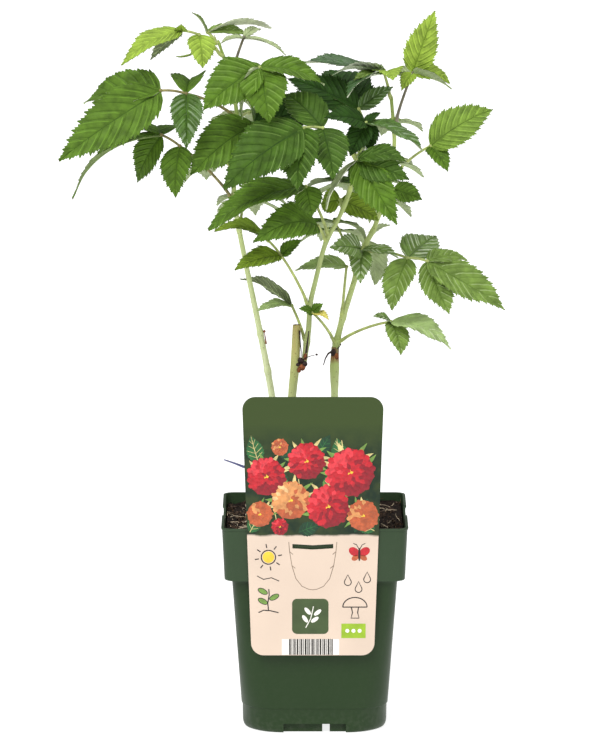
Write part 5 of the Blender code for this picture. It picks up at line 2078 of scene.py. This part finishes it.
@dataclass
class Marks:
    """The small marks of pruning and drying on the canes, and the dry stem by the label."""

    chance: random.Random = field(default_factory=lambda: random.Random(SEED + 4))

    def blob(self, shape: Shape, middle: Vector, reach: Vector, finish: Finish) -> None:
        """Add a rough lump.

        Args:
            shape: The shape that it joins.
            middle: Its middle.
            reach: Half its size along each axis.
            finish: Its finish.
        """
        rings = []
        for lift in (-75, -40, 0, 40, 75):
            level = math.cos(math.radians(lift))
            ring = []
            for k in range(9):
                turn = math.radians(40 * k)
                out = level * self.chance.uniform(0.8, 1.15)
                ring.append(middle + Vector((
                    reach.x * out * math.cos(turn), reach.y * out * math.sin(turn),
                    reach.z * math.sin(math.radians(lift)))))
            rings.append(ring)
        shape.loft(rings, finish)

    def thread(self, shape: Shape, points: Sequence[Sequence[float]], radius: float, finish: Finish) -> None:
        """Add a thin dry thread through points, tapering to its end."""
        places = [Vector(point) for point in points]
        count = len(places) - 1
        shape.tube(places, [radius * (1 - 0.6 * i / count) for i in range(count + 1)], 6, finish)

    def build(self) -> None:
        """Make the marks."""
        wood = Shape()
        for x, z, reach_x, reach_z, finish in (
            (-9.9, 260.4, 2.4, 2.2, DARK_SHRED), (-12.2, 257.6, 2.2, 1.2, DARK_SHRED),
            (-8.7, 255.6, 2.4, 2.6, WOUND), (-6.8, 258.0, 1.9, 2.0, DARK_SHRED),
            (-10.9, 253.8, 1.6, 2.2, WOUND), (-6.6, 263.2, 1.5, 2.6, WOUND)):
            self.blob(wood, Vector((x, -13.9, z)), Vector((reach_x, 1.5, reach_z)), finish)
        self.thread(wood, [
            (-10.7, -14.9, 282.0), (-10.3, -14.9, 274.0), (-9.5, -14.7, 267.0), (-9.7, -14.4, 260.4)],
            0.6, DARK_SHRED)
        self.thread(wood, [
            (-8.7, -14.3, 260.8), (-5.9, -15.0, 262.6), (-2.7, -15.6, 264.0), (1.1, -16, 264.9)],
            0.5, DARK_SHRED)
        self.blob(wood, Vector((1.4, -16, 265.0)), Vector((0.9, 0.8, 0.8)), DARK_SHRED)
        self.thread(wood, [
            (-6.0, -13.8, 266.0), (-5.2, -13.9, 273), (-4.2, -13.9, 281.5)], 0.9, DARK_SHRED)
        self.blob(wood, Vector((13.4, 5.6, 262.6)), Vector((2.2, 0.9, 2.8)), DARK_SHRED)
        self.blob(wood, Vector((15.4, 5.4, 260.0)), Vector((1.8, 0.9, 2.4)), WOUND)
        self.thread(wood, [
            (12.2, 5.8, 263.5), (9.6, 5.0, 262.0), (7.6, 4.8, 258.6), (6.2, 4.8, 253.6)], 0.9, DARK_SHRED)
        self.thread(wood, [(16.3, 5.6, 265.5), (18.2, 5.2, 267.6)], 0.5, DARK_SHRED)
        self.blob(wood, Vector((18.4, 5.2, 268.4)), Vector((0.6, 0.6, 0.6)), DARK_SHRED)
        self.thread(wood, [
            (-34.2, 1.8, 269.5), (-34.8, 1.4, 274), (-35.6, 1.2, 278.4)], 0.6, WOUND)
        self.blob(wood, Vector((-35.5, 1.2, 278.6)), Vector((0.9, 0.8, 1.1)), WOUND)
        self.thread(wood, [(10.5, 3.0, 275), (11.3, 3.0, 277.4), (12.4, 3.0, 278.6)], 0.3, DARK_SHRED)
        wood.piece("cane_scars", "cane_bark")
        dry = Shape()
        self.thread(dry, [
            (-44.0, -60.0, 192.4), (-50.0, -61.0, 193.6), (-56.0, -62.0, 196.2), (-63.3, -63.0, 198.9)],
            1.25, WIRE)
        dry.piece("dry_stem", "cane_bark")


@dataclass
class Studio:
    """A pale floor, soft light and the camera."""

    lens: float = 257.65
    place: tuple[float, float, float] = (-0.0103515, -3.67453, 0.907503)
    pitch: float = 10.117
    floor_half: float = 60.0
    floor_glow: float = 0.82
    sky: float = 0.3

    def floor(self) -> None:
        """Lay the floor."""
        mesh = bpy.data.meshes.new("floor")
        half = self.floor_half
        mesh.from_pydata(
            [(-half, -half, 0), (half, -half, 0), (half, half, 0), (-half, half, 0)], [], [(0, 1, 2, 3)])
        recipe = Recipe("floor_paint", 0.9, 0.0)
        recipe.shader.inputs["Base Color"].default_value = (0.42, 0.42, 0.42, 1.0)
        recipe.shader.inputs["Emission Color"].default_value = (1.0, 1.0, 1.0, 1.0)
        recipe.shader.inputs["Emission Strength"].default_value = self.floor_glow
        mesh.materials.append(recipe.material)
        made = bpy.data.objects.new("floor", mesh)
        made.location.z = -0.2 * MM
        bpy.context.scene.collection.objects.link(made)

    def sun(self, name: str, bearing: float, rise: float, spread: float, power: float) -> None:
        """Light the plant from far off with a broad, soft source.

        Args:
            name: The light's name.
            bearing: Where it stands, from +X towards +Y.
            rise: How high it stands.
            spread: How wide it looks, in degrees.
            power: Its strength.
        """
        light = bpy.data.lights.new(name, "SUN")
        light.angle = math.radians(spread)
        light.energy = power
        made = bpy.data.objects.new(name, light)
        made.rotation_euler = direction(bearing, rise).to_track_quat("Z", "Y").to_euler()
        bpy.context.scene.collection.objects.link(made)

    def light(self) -> None:
        """Light the room."""
        world = bpy.data.worlds.new("studio")
        world.use_nodes = True
        world.node_tree.nodes["Background"].inputs["Color"].default_value = (1.0, 1.0, 1.0, 1.0)
        world.node_tree.nodes["Background"].inputs["Strength"].default_value = self.sky
        bpy.context.scene.world = world
        self.sun("key", -118, 46, 34.0, 2.3)
        self.sun("fill", -40, 30, 60.0, 0.6)
        self.sun("top", 70, 70, 40.0, 0.9)

    def camera(self) -> None:
        """Place the camera at the photograph's angle."""
        data = bpy.data.cameras.new("camera")
        data.sensor_width = 36.0
        data.lens = self.lens
        data.clip_end = 200.0
        made = bpy.data.objects.new("camera", data)
        made.location = self.place
        made.rotation_euler = (math.radians(90 - self.pitch), 0, 0)
        bpy.context.scene.collection.objects.link(made)
        bpy.context.scene.camera = made
        bpy.context.scene.view_settings.view_transform = "Standard"

    def build(self) -> None:
        """Set up the whole studio."""
        self.floor()
        self.light()
        self.camera()


def corners_of(node: bpy.types.Object) -> np.ndarray:
    """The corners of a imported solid, as an array of places in metres."""
    places = np.empty(len(node.data.vertices) * 3)
    node.data.vertices.foreach_get("co", places)
    return places.reshape(-1, 3)


def main() -> None:
    """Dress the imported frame, piece by piece, and note the sizes."""
    logging.basicConfig(level=logging.INFO, format="%(message)s")
    for old in list(bpy.data.objects):
        bpy.data.objects.remove(old)
    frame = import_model()
    Studio().build()
    pot = Pot()
    pot.build()
    Soil(pot).build()
    Label(pot).build()
    canes = make_canes()
    chance = random.Random(SEED)
    rear = {name: rear_leaf(leaf, chance) for name, leaf in REAR_LEAVES.items()}
    for number, cane in enumerate(canes.values()):
        cane.build(random.Random(100 + number))
    Marks().build()
    for number, (name, leaf) in enumerate({**LEAVES, **rear}.items()):
        corners = corners_of(frame["nodes"][name])
        Mass(name, leaf, canes[leaf.cane], corners, random.Random(200 + number)).build()


if __name__ == "__main__":
    main()
